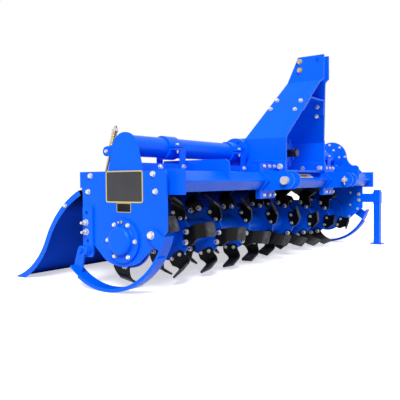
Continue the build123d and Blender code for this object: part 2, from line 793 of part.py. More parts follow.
def clamp_outline(out):
    """A plate bent round two faces of the beam: out is -1 for the front plate, +1 for the rear one."""
    inner = [
        (flange_split, clamp_flange), (flange_split, knee), (beam_half, 0),
        (flange_split, -knee), (flange_split, -clamp_flange),
    ]
    outer = [
        (flange_split + hitch_t, -clamp_flange), (flange_split + hitch_t, -knee - bend),
        (beam_half + hitch_t * sqrt(2), 0),
        (flange_split + hitch_t, knee + bend), (flange_split + hitch_t, clamp_flange),
    ]
    return [at(beam_dy + out * y, beam_z + z) for y, z in inner + outer]


vee_tip = beam_dy - beam_half - hitch_t * sqrt(2)
plate_start = hitch_shift - hitch_w / 2                # from the pin's middle
cheek_starts = (-cheek_gap / 2 - cheek_t, cheek_gap / 2)
for side_name, pin_x in zip(("near", "far"), hitch_xs):
    with BuildPart() as hitch_bracket:
        with BuildSketch(Plane.YZ.offset(pin_x + plate_start)):
            with BuildLine():
                Polyline(*clamp_outline(-1), close=True)
            make_face()
        extrude(amount=hitch_w)
        with BuildSketch(*[Plane.YZ.offset(pin_x + start) for start in cheek_starts]):
            with Locations(at(pin_dy, pin_z)):
                Circle(cheek_r)
            with Locations(at(beam_dy - flange_split - hitch_t, beam_z)):
                Rectangle(flange_split, 2 * knee + 2 * bend)
            make_hull()
            with BuildLine():
                Polyline(
                    at(beam_dy, beam_z + knee + bend + flange_split + hitch_t), at(vee_tip, beam_z),
                    at(beam_dy, beam_z - knee - bend - flange_split - hitch_t), close=True,
                )
            make_face(mode=Mode.SUBTRACT)
            with Locations(at(pin_dy, pin_z)):
                Circle(pin_r + running_gap, mode=Mode.SUBTRACT)
        extrude(amount=cheek_t)
    hitch_bracket.part.label = f"hitch_bracket_{side_name}"
    export_step(hitch_bracket.part, f"parts/hitch_bracket_{side_name}.step")

with BuildPart() as hitch_back_plates:
    with BuildSketch(*[Plane.YZ.offset(pin_x + plate_start) for pin_x in hitch_xs]):
        with BuildLine():
            Polyline(*clamp_outline(1), close=True)
        make_face()
    extrude(amount=hitch_w)
hitch_back_plates.part.label = "hitch_back_plates"
export_step(hitch_back_plates.part, "parts/hitch_back_plates.step")

cheek_out = cheek_gap / 2 + cheek_t
with BuildPart() as hitch_pins:
    for pin_x, head_side in zip(hitch_xs, (-1, 1)):
        with BuildSketch(Plane.YZ.offset(pin_x + head_side * cheek_out)):
            with Locations(at(pin_dy, pin_z)):
                Circle(pin_r)
        extrude(amount=-head_side * (2 * cheek_out + pin_out))
        with BuildSketch(Plane.YZ.offset(pin_x + head_side * cheek_out)):
            with Locations(at(pin_dy, pin_z)):
                Circle(pin_head_r)
        extrude(amount=head_side * pin_head_t)
hitch_pins.part.label = "hitch_pins"
export_step(hitch_pins.part, "parts/hitch_pins.step")

# ---- rotor bearings ------------------------------------------------------------------------------
with BuildPart() as near_hub:
    with BuildSketch(Plane.YZ.offset(near_out - hub_flange_t)):
        with Locations(at(0, rotor_z)):
            Circle(hub_flange_r)
    extrude(amount=hub_flange_t)
    with BuildSketch(Plane.YZ.offset(near_out - hub_flange_t - cap_out)):
        with Locations(at(0, rotor_z)):
            Circle(cap_r)
    extrude(amount=cap_out)
    fillet(near_hub.faces().sort_by(Axis.X)[0].edges(), cap_round_r)
    with BuildSketch(Plane.YZ.offset(near_out)):
        with Locations(at(0, rotor_z)):
            Circle(housing_r)
    extrude(amount=side_plate_t + housing_in)
    with BuildSketch(Plane.YZ.offset(near_in + housing_in)):
        with Locations(at(0, rotor_z)):
            Circle(journal_r + running_gap)
    extrude(amount=-journal_depth - moving_gap, mode=Mode.SUBTRACT)
near_hub.part.label = "near_hub"
export_step(near_hub.part, "parts/near_hub.step")

with BuildPart() as far_hub:
    with BuildSketch(Plane.YZ.offset(far_in - hub_flange_t)):
        with Locations(at(0, rotor_z)):
            Circle(hub_flange_r)
    extrude(amount=hub_flange_t)
    with BuildSketch(Plane.YZ.offset(far_in - hub_flange_t - far_housing_in)):
        with Locations(at(0, rotor_z)):
            Circle(housing_r)
    extrude(amount=hub_flange_t + far_housing_in + far_wall_t)
    with BuildSketch(Plane.YZ.offset(far_in - hub_flange_t - far_housing_in)):
        with Locations(at(0, rotor_z)):
            Circle(journal_r + running_gap)
    extrude(amount=hub_flange_t + far_housing_in + far_wall_t, mode=Mode.SUBTRACT)
far_hub.part.label = "far_hub"
export_step(far_hub.part, "parts/far_hub.step")

# ---- rotor ---------------------------------------------------------------------------------------
gang_xs = [near_in + first_gang + gang_pitch * k for k in range(gang_count)]
tube_start = gang_xs[0] - flange_t / 2
tube_end = gang_xs[-1] + flange_t / 2
with BuildPart() as rotor_tube:
    with BuildSketch(Plane.YZ.offset(tube_start)):
        with Locations(at(0, rotor_z)):
            Circle(rotor_tube_r)
    extrude(amount=tube_end - tube_start)
    with BuildSketch(Plane.YZ.offset(tube_start + flange_t)):
        with Locations(at(0, rotor_z)):
            Circle(rotor_tube_r - rotor_tube_wall)
    extrude(amount=tube_end - tube_start - 2 * flange_t, mode=Mode.SUBTRACT)
    with BuildSketch(Plane.YZ.offset(near_in + housing_in - journal_depth)):
        with Locations(at(0, rotor_z)):
            Circle(journal_r)
    extrude(amount=tube_start - near_in - housing_in + journal_depth)
    with BuildSketch(Plane.YZ.offset(tube_end)):
        with Locations(at(0, rotor_z)):
            Circle(journal_r)
    extrude(amount=far_out - tube_end)
rotor_tube.part.label = "rotor_tube"
export_step(rotor_tube.part, "parts/rotor_tube.step")

# One blade, straight above the rotor axis, its tip bent towards +X, while its shank's foot leads in the
# turning direction, -Y. It stands against the flange's +X face.
blade_face = flange_t / 2
bend_angle = radians(blade_bend)
knee_r = blade_tip_r - (blade_reach - blade_face) / tan(bend_angle)
tip_inside = (blade_reach + blade_t * cos(bend_angle), blade_tip_r - blade_t * sin(bend_angle))
with BuildPart() as blade:
    with BuildSketch(Plane.XZ):
        with BuildLine():
            FilletPolyline(
                (blade_face, shank_foot_r), (blade_face, knee_r), (blade_reach, blade_tip_r),
                radius=blade_bend_r + blade_t,
            )
            Line((blade_reach, blade_tip_r), tip_inside)
            FilletPolyline(
                tip_inside, (blade_face + blade_t, knee_r - blade_t * tan(bend_angle / 2)),
                (blade_face + blade_t, shank_foot_r), radius=blade_bend_r,
            )
            Line((blade_face + blade_t, shank_foot_r), (blade_face, shank_foot_r))
        make_face()
    extrude(amount=shank_lead, both=True)
    with BuildSketch(Plane.YZ):
        with BuildLine():
            Polyline(
                (-shank_lead, shank_foot_r), (shank_lag, shank_foot_r), (shank_lag, shank_neck_r),
                (blade_w / 2, shank_waist_r), (blade_w / 2, blade_tip_r), (-blade_w / 2, blade_tip_r),
                (-blade_w / 2, shank_waist_r), (-shank_lead, shank_neck_r), close=True,
            )
        make_face()
    extrude(amount=blade_reach + blade_t, mode=Mode.INTERSECT)
    fillet(blade.faces().sort_by(Axis.Z)[0].edges().filter_by(Axis.X), shank_foot_corner_r)
    fillet(blade.faces().sort_by(Axis.X)[-1].edges().sort_by(SortBy.LENGTH)[:2], blade_corner_r)

left_blade = blade.part.mirror(Plane.YZ)
right_shift = flange_t + blade_t       # both kinds stand against the flange's -X face
for k, gang_x in enumerate(gang_xs):
    with BuildPart() as blade_gang:
        with BuildSketch(Plane.YZ.offset(gang_x - flange_t / 2)):
            with Locations(at(0, rotor_z)):
                Circle(flange_r)
                Circle(rotor_tube_r + weld_gap, mode=Mode.SUBTRACT)
        extrude(amount=flange_t)
        for turn in range(3):
            phase = first_phase + blade_helix * k + 120 * turn
            if gang_x < gang_xs[-1]:
                with Locations(Location((gang_x - right_shift, rotor_y, rotor_z), (phase, 0, 0))):
                    add(blade.part)
            if gang_x > gang_xs[0]:
                with Locations(Location((gang_x, rotor_y, rotor_z), (phase + 60, 0, 0))):
                    add(left_blade)
    blade_gang.part.label = f"blade_gang_{k + 1}"
    export_step(blade_gang.part, f"parts/blade_gang_{k + 1}.step")

# ---- skids ---------------------------------------------------------------------------------------


def on_skid(radius, angle):
    """A point of the skid's side view, so far from its centre: the angle is from straight down, rearward."""
    return at(skid_dy + radius * sin(radians(angle)), skid_r - radius * cos(radians(angle)))


band_out = skid_r - wear_t
band_in = band_out - skid_t
for side_name, side in (("near", -1), ("far", 1)):
    with BuildPart() as skid:
        for width, outer, inner, front, rear in (
            (skid_w, band_out, band_in, skid_front_angle, skid_rear_angle),
            (wear_w, skid_r, band_out, wear_front_angle, wear_rear_angle),
        ):
            with BuildSketch(Plane.YZ.offset(side * skid_out)):
                with BuildLine():
                    middle = (front + rear) / 2
                    ThreePointArc(on_skid(outer, front), on_skid(outer, middle), on_skid(outer, rear))
                    Line(on_skid(outer, rear), on_skid(inner, rear))
                    ThreePointArc(on_skid(inner, rear), on_skid(inner, middle), on_skid(inner, front))
                    Line(on_skid(inner, front), on_skid(outer, front))
                make_face()
            extrude(amount=-side * width)
    skid.part.label = f"skid_{side_name}"
    export_step(skid.part, f"parts/skid_{side_name}.step")

skid_seat = band_in - weld_gap
with BuildPart() as skid_front_bars:
    for side in (-1, 1):
        with BuildSketch(Plane.YZ.offset(side * case_out)):
            with Locations(at(*bar_pivot), at(*bar_foot)):
                Circle(skid_bar_r)
            make_hull()
            with Locations(at(skid_dy, skid_r)):
                Circle(skid_seat, mode=Mode.INTERSECT)
        extrude(amount=side * skid_bar_t)
skid_front_bars.part.label = "skid_front_bars"
export_step(skid_front_bars.part, "parts/skid_front_bars.step")

with BuildPart() as skid_straps:
    for side in (-1, 1):
        with BuildSketch(Plane.YZ.offset(side * case_out)):
            with Locations(at(*strap_middle)):
                RectangleRounded(*strap_size, strap_corner_r)
            with Locations(*[at(*place) for place in strap_holes]):
                Circle(strap_hole_r, mode=Mode.SUBTRACT)
        extrude(amount=side * strap_t)
skid_straps.part.label = "skid_straps"
export_step(skid_straps.part, "parts/skid_straps.step")

with BuildPart() as skid_arms:
    for side in (-1, 1):
        with BuildSketch(Plane.YZ.offset(side * (case_out + strap_t))):
            for end, end_r in ((arm_tab, arm_tab_r), (arm_foot, arm_foot_r)):
                with BuildSketch(mode=Mode.PRIVATE) as limb:
                    with Locations(at(*arm_head)):
                        Circle(arm_head_r)
                    with Locations(at(*end)):
                        Circle(end_r)
                    make_hull()
                add(limb.sketch)
            with Locations(at(skid_dy, skid_r)):
                Circle(skid_seat, mode=Mode.INTERSECT)
        extrude(amount=side * strap_t)
skid_arms.part.label = "skid_arms"
export_step(skid_arms.part, "parts/skid_arms.step")

with BuildPart() as skid_spacers:      # they carry the far skid past the gear case
    with BuildSketch(Plane.YZ.offset(far_out)):
        with Locations(at(*bar_pivot), *[at(*place) for place in strap_bolts]):
            Circle(spacer_block_r)
    extrude(amount=case_out - far_out)
skid_spacers.part.label = "skid_spacers"
export_step(skid_spacers.part, "parts/skid_spacers.step")

# ---- parking stand -------------------------------------------------------------------------------
stand_x = far_out + stand_out
sleeve_bore = post_side + 2 * slide_gap
sleeve_side = sleeve_bore + 2 * sleeve_wall
with BuildPart() as stand_sleeve:
    with BuildSketch(Plane.XY.offset(sleeve_z - sleeve_h / 2)):
        with Locations((stand_x, rotor_y + stand_dy)):
            Rectangle(sleeve_side, sleeve_side)
            Rectangle(sleeve_bore, sleeve_bore, mode=Mode.SUBTRACT)
    extrude(amount=sleeve_h)
    with BuildSketch(Plane.XY.offset(sleeve_z - sleeve_arm_h / 2)):
        sleeve_rear = rotor_y + stand_dy + sleeve_side / 2
        sleeve_near = stand_x - sleeve_side / 2
        arm_rear = rotor_y + sleeve_arm_rear
        with BuildLine():
            Polyline(
                (far_out, arm_rear), (far_out, sleeve_rear - sleeve_arm_t),
                (sleeve_near, sleeve_rear - sleeve_arm_t), (sleeve_near, sleeve_rear),
                (far_out + sleeve_arm_t, sleeve_rear), (far_out + sleeve_arm_t, arm_rear), close=True,
            )
        make_face()
    extrude(amount=sleeve_arm_h)
stand_sleeve.part.label = "stand_sleeve"
export_step(stand_sleeve.part, "parts/stand_sleeve.step")

with BuildPart() as stand_post:
    with BuildSketch(Plane.XY):
        with Locations((stand_x, rotor_y + stand_dy)):
            Rectangle(foot_side, foot_side)
    extrude(amount=foot_t)
    with BuildSketch(Plane.XY.offset(foot_t)):
        with Locations((stand_x, rotor_y + stand_dy)):
            Rectangle(post_side, post_side)
            Rectangle(post_side - 2 * post_wall, post_side - 2 * post_wall, mode=Mode.SUBTRACT)
    extrude(amount=post_top - foot_t)
stand_post.part.label = "stand_post"
export_step(stand_post.part, "parts/stand_post.step")

# ---- trailing board ------------------------------------------------------------------------------
board_start = knuckle_r + moving_gap
board_bend = at(board_bend_dy, board_bend_z)
slope_y = cos(radians(board_slope))
slope_z = -sin(radians(board_slope))


def from_hinge(along, above):
    """A point near the hinge: so far down the board's upper face, so far square above it."""
    return at(
        hinge_dy + along * slope_y - above * slope_z,
        hinge_z + along * slope_z + above * slope_y,
    )


eye_dy = from_hinge(eye_along, eye_above)[0] - rotor_y
eye_z = from_hinge(eye_along, eye_above)[1]
board_knuckle_xs = [x + knuckle_len + moving_gap for x in knuckle_xs[:-1]]
board_knuckle_xs.append(knuckle_xs[-1] - knuckle_len - moving_gap)
rod_xs = (near_in + rod_near, far_in - rod_far)
lug_starts = [x + start for x in rod_xs for start in (-eye_half - lug_gap - lug_t, eye_half + lug_gap)]
with BuildPart() as trailing_board:
    for start, length, depth in (
        (hinge_near, hinge_far - hinge_near, board_t),        # the curved sheet
        (hinge_near, board_t, board_rim),                     # its folded near rim
        (hinge_far - board_t, board_t, board_rim),            # and its far rim
    ):
        with BuildSketch(Plane.YZ.offset(start)):
            with BuildLine():
                top = TangentArc(from_hinge(board_start, 0), board_bend, tangent=(slope_y, slope_z))
                TangentArc(board_bend, at(board_tip_dy, board_t), tangent=top % 1)
                offset(amount=depth, side=Side.RIGHT)
            make_face()
        extrude(amount=length)
    split(bisect_by=Plane.XY, keep=Keep.TOP)
    for knuckle_x in board_knuckle_xs:
        with BuildSketch(Plane.YZ.offset(knuckle_x)):
            with Locations(at(hinge_dy, hinge_z)):
                Circle(knuckle_r)
            with BuildLine():
                Polyline(
                    from_hinge(0, 0), from_hinge(2 * board_start, 0),
                    from_hinge(2 * board_start, -board_t), from_hinge(0, -board_t - sleeve_wall), close=True,
                )
            make_face()
            with Locations(at(hinge_dy, hinge_z)):
                Circle(hinge_rod_r + running_gap, mode=Mode.SUBTRACT)
        extrude(amount=knuckle_len)
    with BuildSketch(*[Plane.YZ.offset(x) for x in lug_starts]):
        with Locations(at(eye_dy, eye_z)):
            Circle(lug_r)
        with BuildLine():
            Polyline(
                from_hinge(eye_along - lug_r, eye_above),
                from_hinge(eye_along - lug_r - lug_spread, -board_t / 2),
                from_hinge(eye_along + lug_r + lug_spread, -board_t),
                from_hinge(eye_along + lug_r, eye_above), close=True,
            )
        make_face()
    extrude(amount=lug_t)
    with BuildSketch(*[Plane.YZ.offset(x) for x in lug_starts[::2]]):
        with Locations(at(eye_dy, eye_z)):
            Circle(eye_pin_r)
    extrude(amount=2 * (eye_half + lug_gap + lug_t))
trailing_board.part.label = "trailing_board"
export_step(trailing_board.part, "parts/trailing_board.step")

# ---- spring rods, which slide up through swivels as the board lifts ------------------------------
swivel_dy = eye_dy - swivel_at * sin(radians(rod_lean))
swivel_z = eye_z + swivel_at * cos(radians(rod_lean))


def rod_plane(rod_x, up):
    """The plane square to a spring rod, so far up from the centre of its eye."""
    lean = (0, -sin(radians(rod_lean)), cos(radians(rod_lean)))
    origin = (rod_x, rotor_y + eye_dy + up * lean[1], eye_z + up * lean[2])
    return Plane(origin=origin, x_dir=(1, 0, 0), z_dir=lean)


with BuildPart() as spring_rods:
    for rod_x in rod_xs:
        with BuildSketch(Plane.YZ.offset(rod_x - eye_half)):
            with Locations(at(eye_dy, eye_z)):
                Circle(eye_r)
        extrude(amount=2 * eye_half)
        with BuildSketch(rod_plane(rod_x, 0)):
            Circle(rod_r)
        extrude(amount=rod_len)
        with BuildSketch(Plane.YZ.offset(rod_x - eye_half)):
            with Locations(at(eye_dy, eye_z)):
                Circle(eye_slot_r)
        extrude(amount=2 * eye_half, mode=Mode.SUBTRACT)
spring_rods.part.label = "spring_rods"
export_step(spring_rods.part, "parts/spring_rods.step")

with BuildPart() as rod_swivels:
    for rod_x in rod_xs:
        with BuildSketch(Plane.YZ.offset(rod_x - swivel_half)):
            with Locations(at(swivel_dy, swivel_z)):
                Circle(swivel_r)
        extrude(amount=2 * swivel_half)
        with BuildSketch(rod_plane(rod_x, swivel_at - 2 * swivel_r)):
            Circle(rod_r + slide_gap)
        extrude(amount=4 * swivel_r, mode=Mode.SUBTRACT)
rod_swivels.part.label = "rod_swivels"
export_step(rod_swivels.part, "parts/rod_swivels.step")

arm_starts = [x + start for x in rod_xs for start in (-swivel_half - arm_t, swivel_half)]
with BuildPart() as rod_arms:
    with BuildSketch(*[Plane.YZ.offset(x) for x in arm_starts]):
        with Locations(at(tube_dy + arm_root_dy, tube_z)):
            Circle(arm_root_r)
        with Locations(at(swivel_dy, swivel_z)):
            Circle(swivel_r + arm_margin)
        make_hull()
        with Locations(at(tube_dy, tube_z)):
            Circle(tube_r + weld_gap, mode=Mode.SUBTRACT)
    extrude(amount=arm_t)
rod_arms.part.label = "rod_arms"
export_step(rod_arms.part, "parts/rod_arms.step")
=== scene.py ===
# %% [markdown]
# # A rotary tiller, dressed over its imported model
# The steel pieces of the machine come in as a fixed frame, already at their real size and place.
# This file gives them paint and bare metal, and adds what a fitter and a welder would add: bolts,
# nuts, splines, springs, pins, plates and weld beads.

# %% Load the frame and keep its box
import json
from math import atan2, cos, pi, radians, sin

import bpy
from mathutils import Matrix, Vector


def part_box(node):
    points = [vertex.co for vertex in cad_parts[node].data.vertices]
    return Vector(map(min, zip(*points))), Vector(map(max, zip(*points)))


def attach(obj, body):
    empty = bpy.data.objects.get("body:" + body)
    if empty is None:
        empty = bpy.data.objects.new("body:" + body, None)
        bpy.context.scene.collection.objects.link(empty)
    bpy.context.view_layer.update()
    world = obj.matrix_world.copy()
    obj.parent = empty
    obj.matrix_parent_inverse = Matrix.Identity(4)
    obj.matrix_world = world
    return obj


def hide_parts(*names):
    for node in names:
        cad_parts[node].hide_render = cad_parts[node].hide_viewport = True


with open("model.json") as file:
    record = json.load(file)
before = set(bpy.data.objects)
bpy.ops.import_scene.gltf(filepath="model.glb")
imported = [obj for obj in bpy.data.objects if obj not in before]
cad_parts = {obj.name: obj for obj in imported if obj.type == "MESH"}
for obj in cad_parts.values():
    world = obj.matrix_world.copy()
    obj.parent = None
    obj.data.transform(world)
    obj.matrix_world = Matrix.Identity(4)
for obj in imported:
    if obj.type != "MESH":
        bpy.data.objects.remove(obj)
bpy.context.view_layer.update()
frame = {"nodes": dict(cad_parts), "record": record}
scene = bpy.context.scene
joint_rows = {row["name"]: row for row in frame["record"]["behaviour"]["joints"]}
axle_y, axle_z = joint_rows["rotor_spin"]["pos_m"][1:]

# %% [markdown]
# ## The camera
# The machine is seen from its left front corner, from the height of the hitch pins and two and a half
# metres from its near end. The camera looks along `forward`, and a small roll leans the picture as a
# hand-held camera would.

# %% Place the camera
yaw, pitch, roll = radians(54.97), radians(-1.87), radians(-0.58)
forward = Vector((sin(yaw) * cos(pitch), cos(yaw) * cos(pitch), sin(pitch)))
level_right = forward.cross(Vector((0, 0, 1))).normalized()
level_up = level_right.cross(forward)
right = level_right * cos(roll) + level_up * sin(roll)
up = level_up * cos(roll) - level_right * sin(roll)
camera_spot = Vector((-3.05515, axle_y - 1.7089, 0.48197))
camera_data = bpy.data.cameras.new("camera")
camera_data.lens = 51.54
camera_data.sensor_width = 36
camera = bpy.data.objects.new("camera", camera_data)
turned_to_view = Matrix((right, up, -forward)).transposed().to_4x4()
camera.matrix_world = Matrix.Translation(camera_spot) @ turned_to_view
scene.collection.objects.link(camera)
scene.camera = camera
print("Camera at", tuple(camera_spot))

# %% [markdown]
# ## Shader arithmetic
# A pattern on a surface is arithmetic on sockets. `Shade` wraps a socket so that `1 - mask` or
# `a * b` adds the Math nodes by itself, and `Finish` is a material with one method for every other
# node. `cover` lays a flat, glossless colour over a finish where a mask says so: painted shade.


# %% A socket that can be reckoned with
class Shade:
    def __init__(self, finish, socket):
        self.finish, self.socket = finish, socket

    def maths(self, operation, *values):
        return self.finish.node("ShaderNodeMath", {"operation": operation}, dict(enumerate(values)))

    def __add__(self, other):
        return self.maths("ADD", self, other)

    def __radd__(self, other):
        return self.maths("ADD", other, self)

    def __sub__(self, other):
        return self.maths("SUBTRACT", self, other)

    def __rsub__(self, other):
        return self.maths("SUBTRACT", other, self)

    def __mul__(self, other):
        return self.maths("MULTIPLY", self, other)

    def __rmul__(self, other):
        return self.maths("MULTIPLY", other, self)

    def __lt__(self, other):
        return self.maths("LESS_THAN", self, other)

    def __abs__(self):
        return self.maths_alone("ABSOLUTE")

    def maths_alone(self, operation):
        return self.maths(operation, self)

    def limited(self):
        return self.finish.node("ShaderNodeClamp", {}, {"Value": self})


# %% A material and its nodes
class Finish:
    def __init__(self, name, colour, roughness, metallic=0.0, gloss=0.5):
        self.material = bpy.data.materials.new(name)
        self.material.use_nodes = True
        self.tree = self.material.node_tree
        self.shader = self.tree.nodes["Principled BSDF"]
        self.shader.inputs["Base Color"].default_value = (*colour, 1)
        self.shader.inputs["Roughness"].default_value = roughness
        self.shader.inputs["Metallic"].default_value = metallic
        self.shader.inputs["Specular IOR Level"].default_value = gloss
        self.spot = self.node("ShaderNodeTexCoord", {}, {}, "Object")
        self.surface = self.shader.outputs[0]

    def node(self, kind, settings, sockets, output=0):
        made = self.tree.nodes.new(kind)
        for key, value in settings.items():
            setattr(made, key, value)
        for key, value in sockets.items():
            if isinstance(value, Shade):
                self.tree.links.new(value.socket, made.inputs[key])
            else:
                made.inputs[key].default_value = value
        return Shade(self, made.outputs[output])

    def axis(self, letter):
        return self.node("ShaderNodeSeparateXYZ", {}, {0: self.spot}, letter)

    def cloud(self, scale, detail=2.0):
        sockets = {"Vector": self.spot, "Scale": scale, "Detail": detail}
        return self.node("ShaderNodeTexNoise", {}, sockets)

    def mix(self, share, first, second):
        kind = {"data_type": "RGBA"}
        return self.node("ShaderNodeMix", kind, {0: share, 6: first, 7: second}, 2)

    def cover(self, share, colour):
        """Where share is 1 a flat colour without gloss covers the finish: painted shade."""
        dull = self.tree.nodes.new("ShaderNodeBsdfDiffuse")
        dull.inputs["Color"].default_value = colour
        blend = self.tree.nodes.new("ShaderNodeMixShader")
        self.tree.links.new(share.socket, blend.inputs[0])
        self.tree.links.new(self.surface, blend.inputs[1])
        self.tree.links.new(dull.outputs[0], blend.inputs[2])
        self.surface = blend.outputs[0]
        self.tree.links.new(self.surface, self.tree.nodes["Material Output"].inputs["Surface"])

    def bump(self, height, strength, depth):
        sockets = {"Height": height, "Strength": strength, "Distance": depth}
        return self.node("ShaderNodeBump", {}, sockets)

    def wire(self, **sockets):
        for key, value in sockets.items():
            self.tree.links.new(value.socket, self.shader.inputs[key.replace("_", " ")])


print("Shader helpers are ready")

# %% [markdown]
# ## Paint, iron and plating
# The body is sprayed royal blue: a gloss enamel with a faint orange peel, a little lighter and
# darker from sheet to sheet. Cast pieces show the sand's grain under the same paint. The inner faces
# of the hood and of the trailing board get painted shade: a dull dark blue, and near-black high up
# where no light comes in. A face's own direction tells inside from outside. Nuts and bolts are zinc
# plated, some of them yellow.


# %% The blue enamel, smooth and over cast iron
royal_blue = (0.0, 0.145, 1.0)
deep_blue = (0.0, 0.118, 0.92)
painted_shade_blue = (0.01, 0.085, 0.8)
painted_deep_shade = (0.004, 0.005, 0.009)
shade_height = 0.33  # above the ground, where the painted shade in the rotor's tunnel turns near-black
shade_softness = 12.0  # how fast it does, per metre


def enamel(name, grain_scale, grain_strength, inner_way=None):
    """Blue paint; inner_way is the axis against which a sheet's inner face looks, and that face gets
    painted shade.
    """
    finish = Finish(name, royal_blue, 0.32, gloss=0.14)
    drift = ((finish.cloud(3.0) - 0.35) * 1.6).limited()
    colour = finish.mix(drift, (*deep_blue, 1), (*royal_blue, 1))
    peel = finish.cloud(grain_scale, 3.0)
    finish.wire(Base_Color=colour, Roughness=0.26 + finish.cloud(9.0) * 0.14)
    finish.wire(Normal=finish.bump(peel, grain_strength, 0.0005))
    if inner_way:
        way = finish.node("ShaderNodeTexCoord", {}, {}, "Normal")
        inside = finish.node("ShaderNodeSeparateXYZ", {}, {0: way}, inner_way) < -0.25
        deep_shade_share = ((finish.axis("Z") - shade_height) * shade_softness).limited()
        # Painted shade: the inner faces get a dull dark blue without gloss.
        finish.cover(inside, (*painted_shade_blue, 1))
        # Painted deep shade: near-black on the inner faces above shade_height.
        finish.cover(inside * deep_shade_share, (*painted_deep_shade, 1))
    return finish.material


blue = enamel("blue_enamel", 420.0, 0.06)
cast_blue = enamel("blue_over_cast_iron", 190.0, 0.4)
hood_blue = enamel("blue_hood", 420.0, 0.06, "Z")
board_blue = enamel("blue_board", 420.0, 0.06, "Y")
print("Blues:", blue.name, cast_blue.name, hood_blue.name, board_blue.name)


# %% Plated steel
def plating(name, pale, dull, roughness, metallic=1.0):
    """A thin metal coat, stained here and there from pale to dull."""
    finish = Finish(name, pale, roughness, metallic)
    stain = ((finish.cloud(55.0, 4.0) - 0.4) * 2.2).limited()
    finish.wire(Base_Color=finish.mix(stain, (*pale, 1), (*dull, 1)))
    finish.wire(Roughness=roughness + finish.cloud(130.0) * 0.2)
    finish.wire(Normal=finish.bump(finish.cloud(700.0), 0.12, 0.0004))
    return finish.material


zinc = plating("zinc_plate", (0.74, 0.73, 0.69), (0.5, 0.49, 0.45), 0.26, 0.55)
pin_steel = plating("bright_pin_steel", (0.72, 0.68, 0.6), (0.5, 0.46, 0.4), 0.3, 0.2)
yellow_zinc = plating("yellow_zinc_plate", (0.6, 0.5, 0.3), (0.36, 0.28, 0.14), 0.28)
oiled_steel = plating("oiled_dark_steel", (0.09, 0.085, 0.08), (0.035, 0.033, 0.03), 0.3)
print("Bare and plated finishes:", zinc.name, pin_steel.name, yellow_zinc.name, oiled_steel.name)

# %% [markdown]
# The rotor's flanges are blue and the blades bolted to them are black, but each set is one solid.
# Distance from the axle and place along it tell the two apart, so one finish paints both. The
# blades' bent ends run through soil, so the paint there has gone grey from wear, made lighter still by
# a painted sheen for the reflection the tips catch. The share of a flange pitch that a point lies
# from its flange tells the bent end from the flat shank.

# %% Blades, flanges and worn tips with painted sheen
gang_count = sum(name.startswith("blade_gang") for name in frame["nodes"])
gang_boxes = [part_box(f"blade_gang_{k + 1}") for k in range(gang_count)]
flange_half = 0.006
flange_reach = 0.125
blade_thick = 0.01
bend_from, bend_softness = 0.172, 40.0  # the axle to where the grey starts, and how fast it does
shank_share, side_softness = 0.1, 14.0  # the part of a pitch beside the flange that stays black
flange_blue = (0.0, 0.13, 0.9)
first_flange = gang_boxes[0][0].x + flange_half + blade_thick
last_flange = gang_boxes[-1][1].x - flange_half
flange_pitch = (last_flange - first_flange) / (gang_count - 1)
flange_xs = [first_flange + flange_pitch * k for k in range(gang_count)]
print("Rotor flanges at", [round(x, 3) for x in flange_xs])

blades = Finish("black_blades_blue_flanges", (0.01, 0.01, 0.011), 0.35, gloss=0.12)
across = blades.axis("X")
past_axle = blades.axis("Y") - axle_y
over_axle = blades.axis("Z") - axle_z
from_axle = (past_axle * past_axle + over_axle * over_axle).maths_alone("SQRT")
place = (across - (first_flange - flange_pitch / 2)) * (1 / flange_pitch)
in_pitch = abs(place.maths_alone("FRACT") - 0.5)
on_flange = (in_pitch < (flange_half + 0.0002) / flange_pitch) * (from_axle < flange_reach)
past_bend = ((from_axle - bend_from) * bend_softness).limited()
beside_shank = ((in_pitch - shank_share) * side_softness).limited()
on_tip = past_bend * beside_shank
scuffs = ((blades.cloud(38.0, 5.0) - 0.36) * 2.6).limited()
mottle = blades.mix(blades.cloud(16.0, 4.0), (0.003, 0.003, 0.0035, 1), (0.007, 0.007, 0.0075, 1))
# Grey of the bent tips: wear from the soil, and a painted sheen for the reflection they catch.
worn_grey_and_sheen = blades.mix(scuffs, (0.035, 0.035, 0.04, 1), (0.1, 0.1, 0.106, 1))
black_and_grey = blades.mix(on_tip, mottle, worn_grey_and_sheen)
blades.wire(Base_Color=blades.mix(on_flange, black_and_grey, (*flange_blue, 1)))
blades.wire(Roughness=0.28 + on_tip * 0.12 + blades.cloud(30.0) * 0.2)
blades.wire(Normal=blades.bump(blades.cloud(160.0, 4.0), 0.3, 0.0006))
blade_black = blades.material

# %% [markdown]
# ## Dress the frame's own pieces
# A frame node keeps its mesh and only changes finish. Cast pieces get the grainy paint, the hood and
# the board get painted shade inside, and pins and rods are plated. Only what differs from the blue paint
# is listed.

# %% Paint each node
cast_nodes = ("gearbox", "gearbox_cover", "near_hub", "far_hub", "gear_case", "gear_case_cover")
special = {
    "hitch_pins": pin_steel, "hinge_rod": zinc, "spring_rods": yellow_zinc, "pto_shaft": oiled_steel,
    "hood": hood_blue, "trailing_board": board_blue, **dict.fromkeys(cast_nodes, cast_blue),
    **{name: blade_black for name in frame["nodes"] if name.startswith("blade_gang")},
}
for name, node in frame["nodes"].items():
    node.data.materials.clear()
    node.data.materials.append(special.get(name, blue))
print("Painted", len(frame["nodes"]), "nodes")

# %% [markdown]
# ## Floor, world and lamps
# The machine stands in a white studio. The floor is white to the eye, and returns three fifths of the
# light that falls on it to the underside. `camera_share` is 1 where the eye looks, straight or by a
# reflection, so floor and world can look whiter than they shine. One broad sun comes from the left,
# the world fills the rest.


# %% The white floor that keeps the shadow
def camera_share(tree):
    """A socket that is 1 for what the camera sees, also in a gloss or through glass."""
    path = tree.nodes.new("ShaderNodeLightPath")
    total = path.outputs["Is Camera Ray"]
    for ray in ("Is Glossy Ray", "Is Transmission Ray"):
        either = tree.nodes.new("ShaderNodeMath")
        either.operation = "MAXIMUM"
        tree.links.new(total, either.inputs[0])
        tree.links.new(path.outputs[ray], either.inputs[1])
        total = either.outputs[0]
    return total


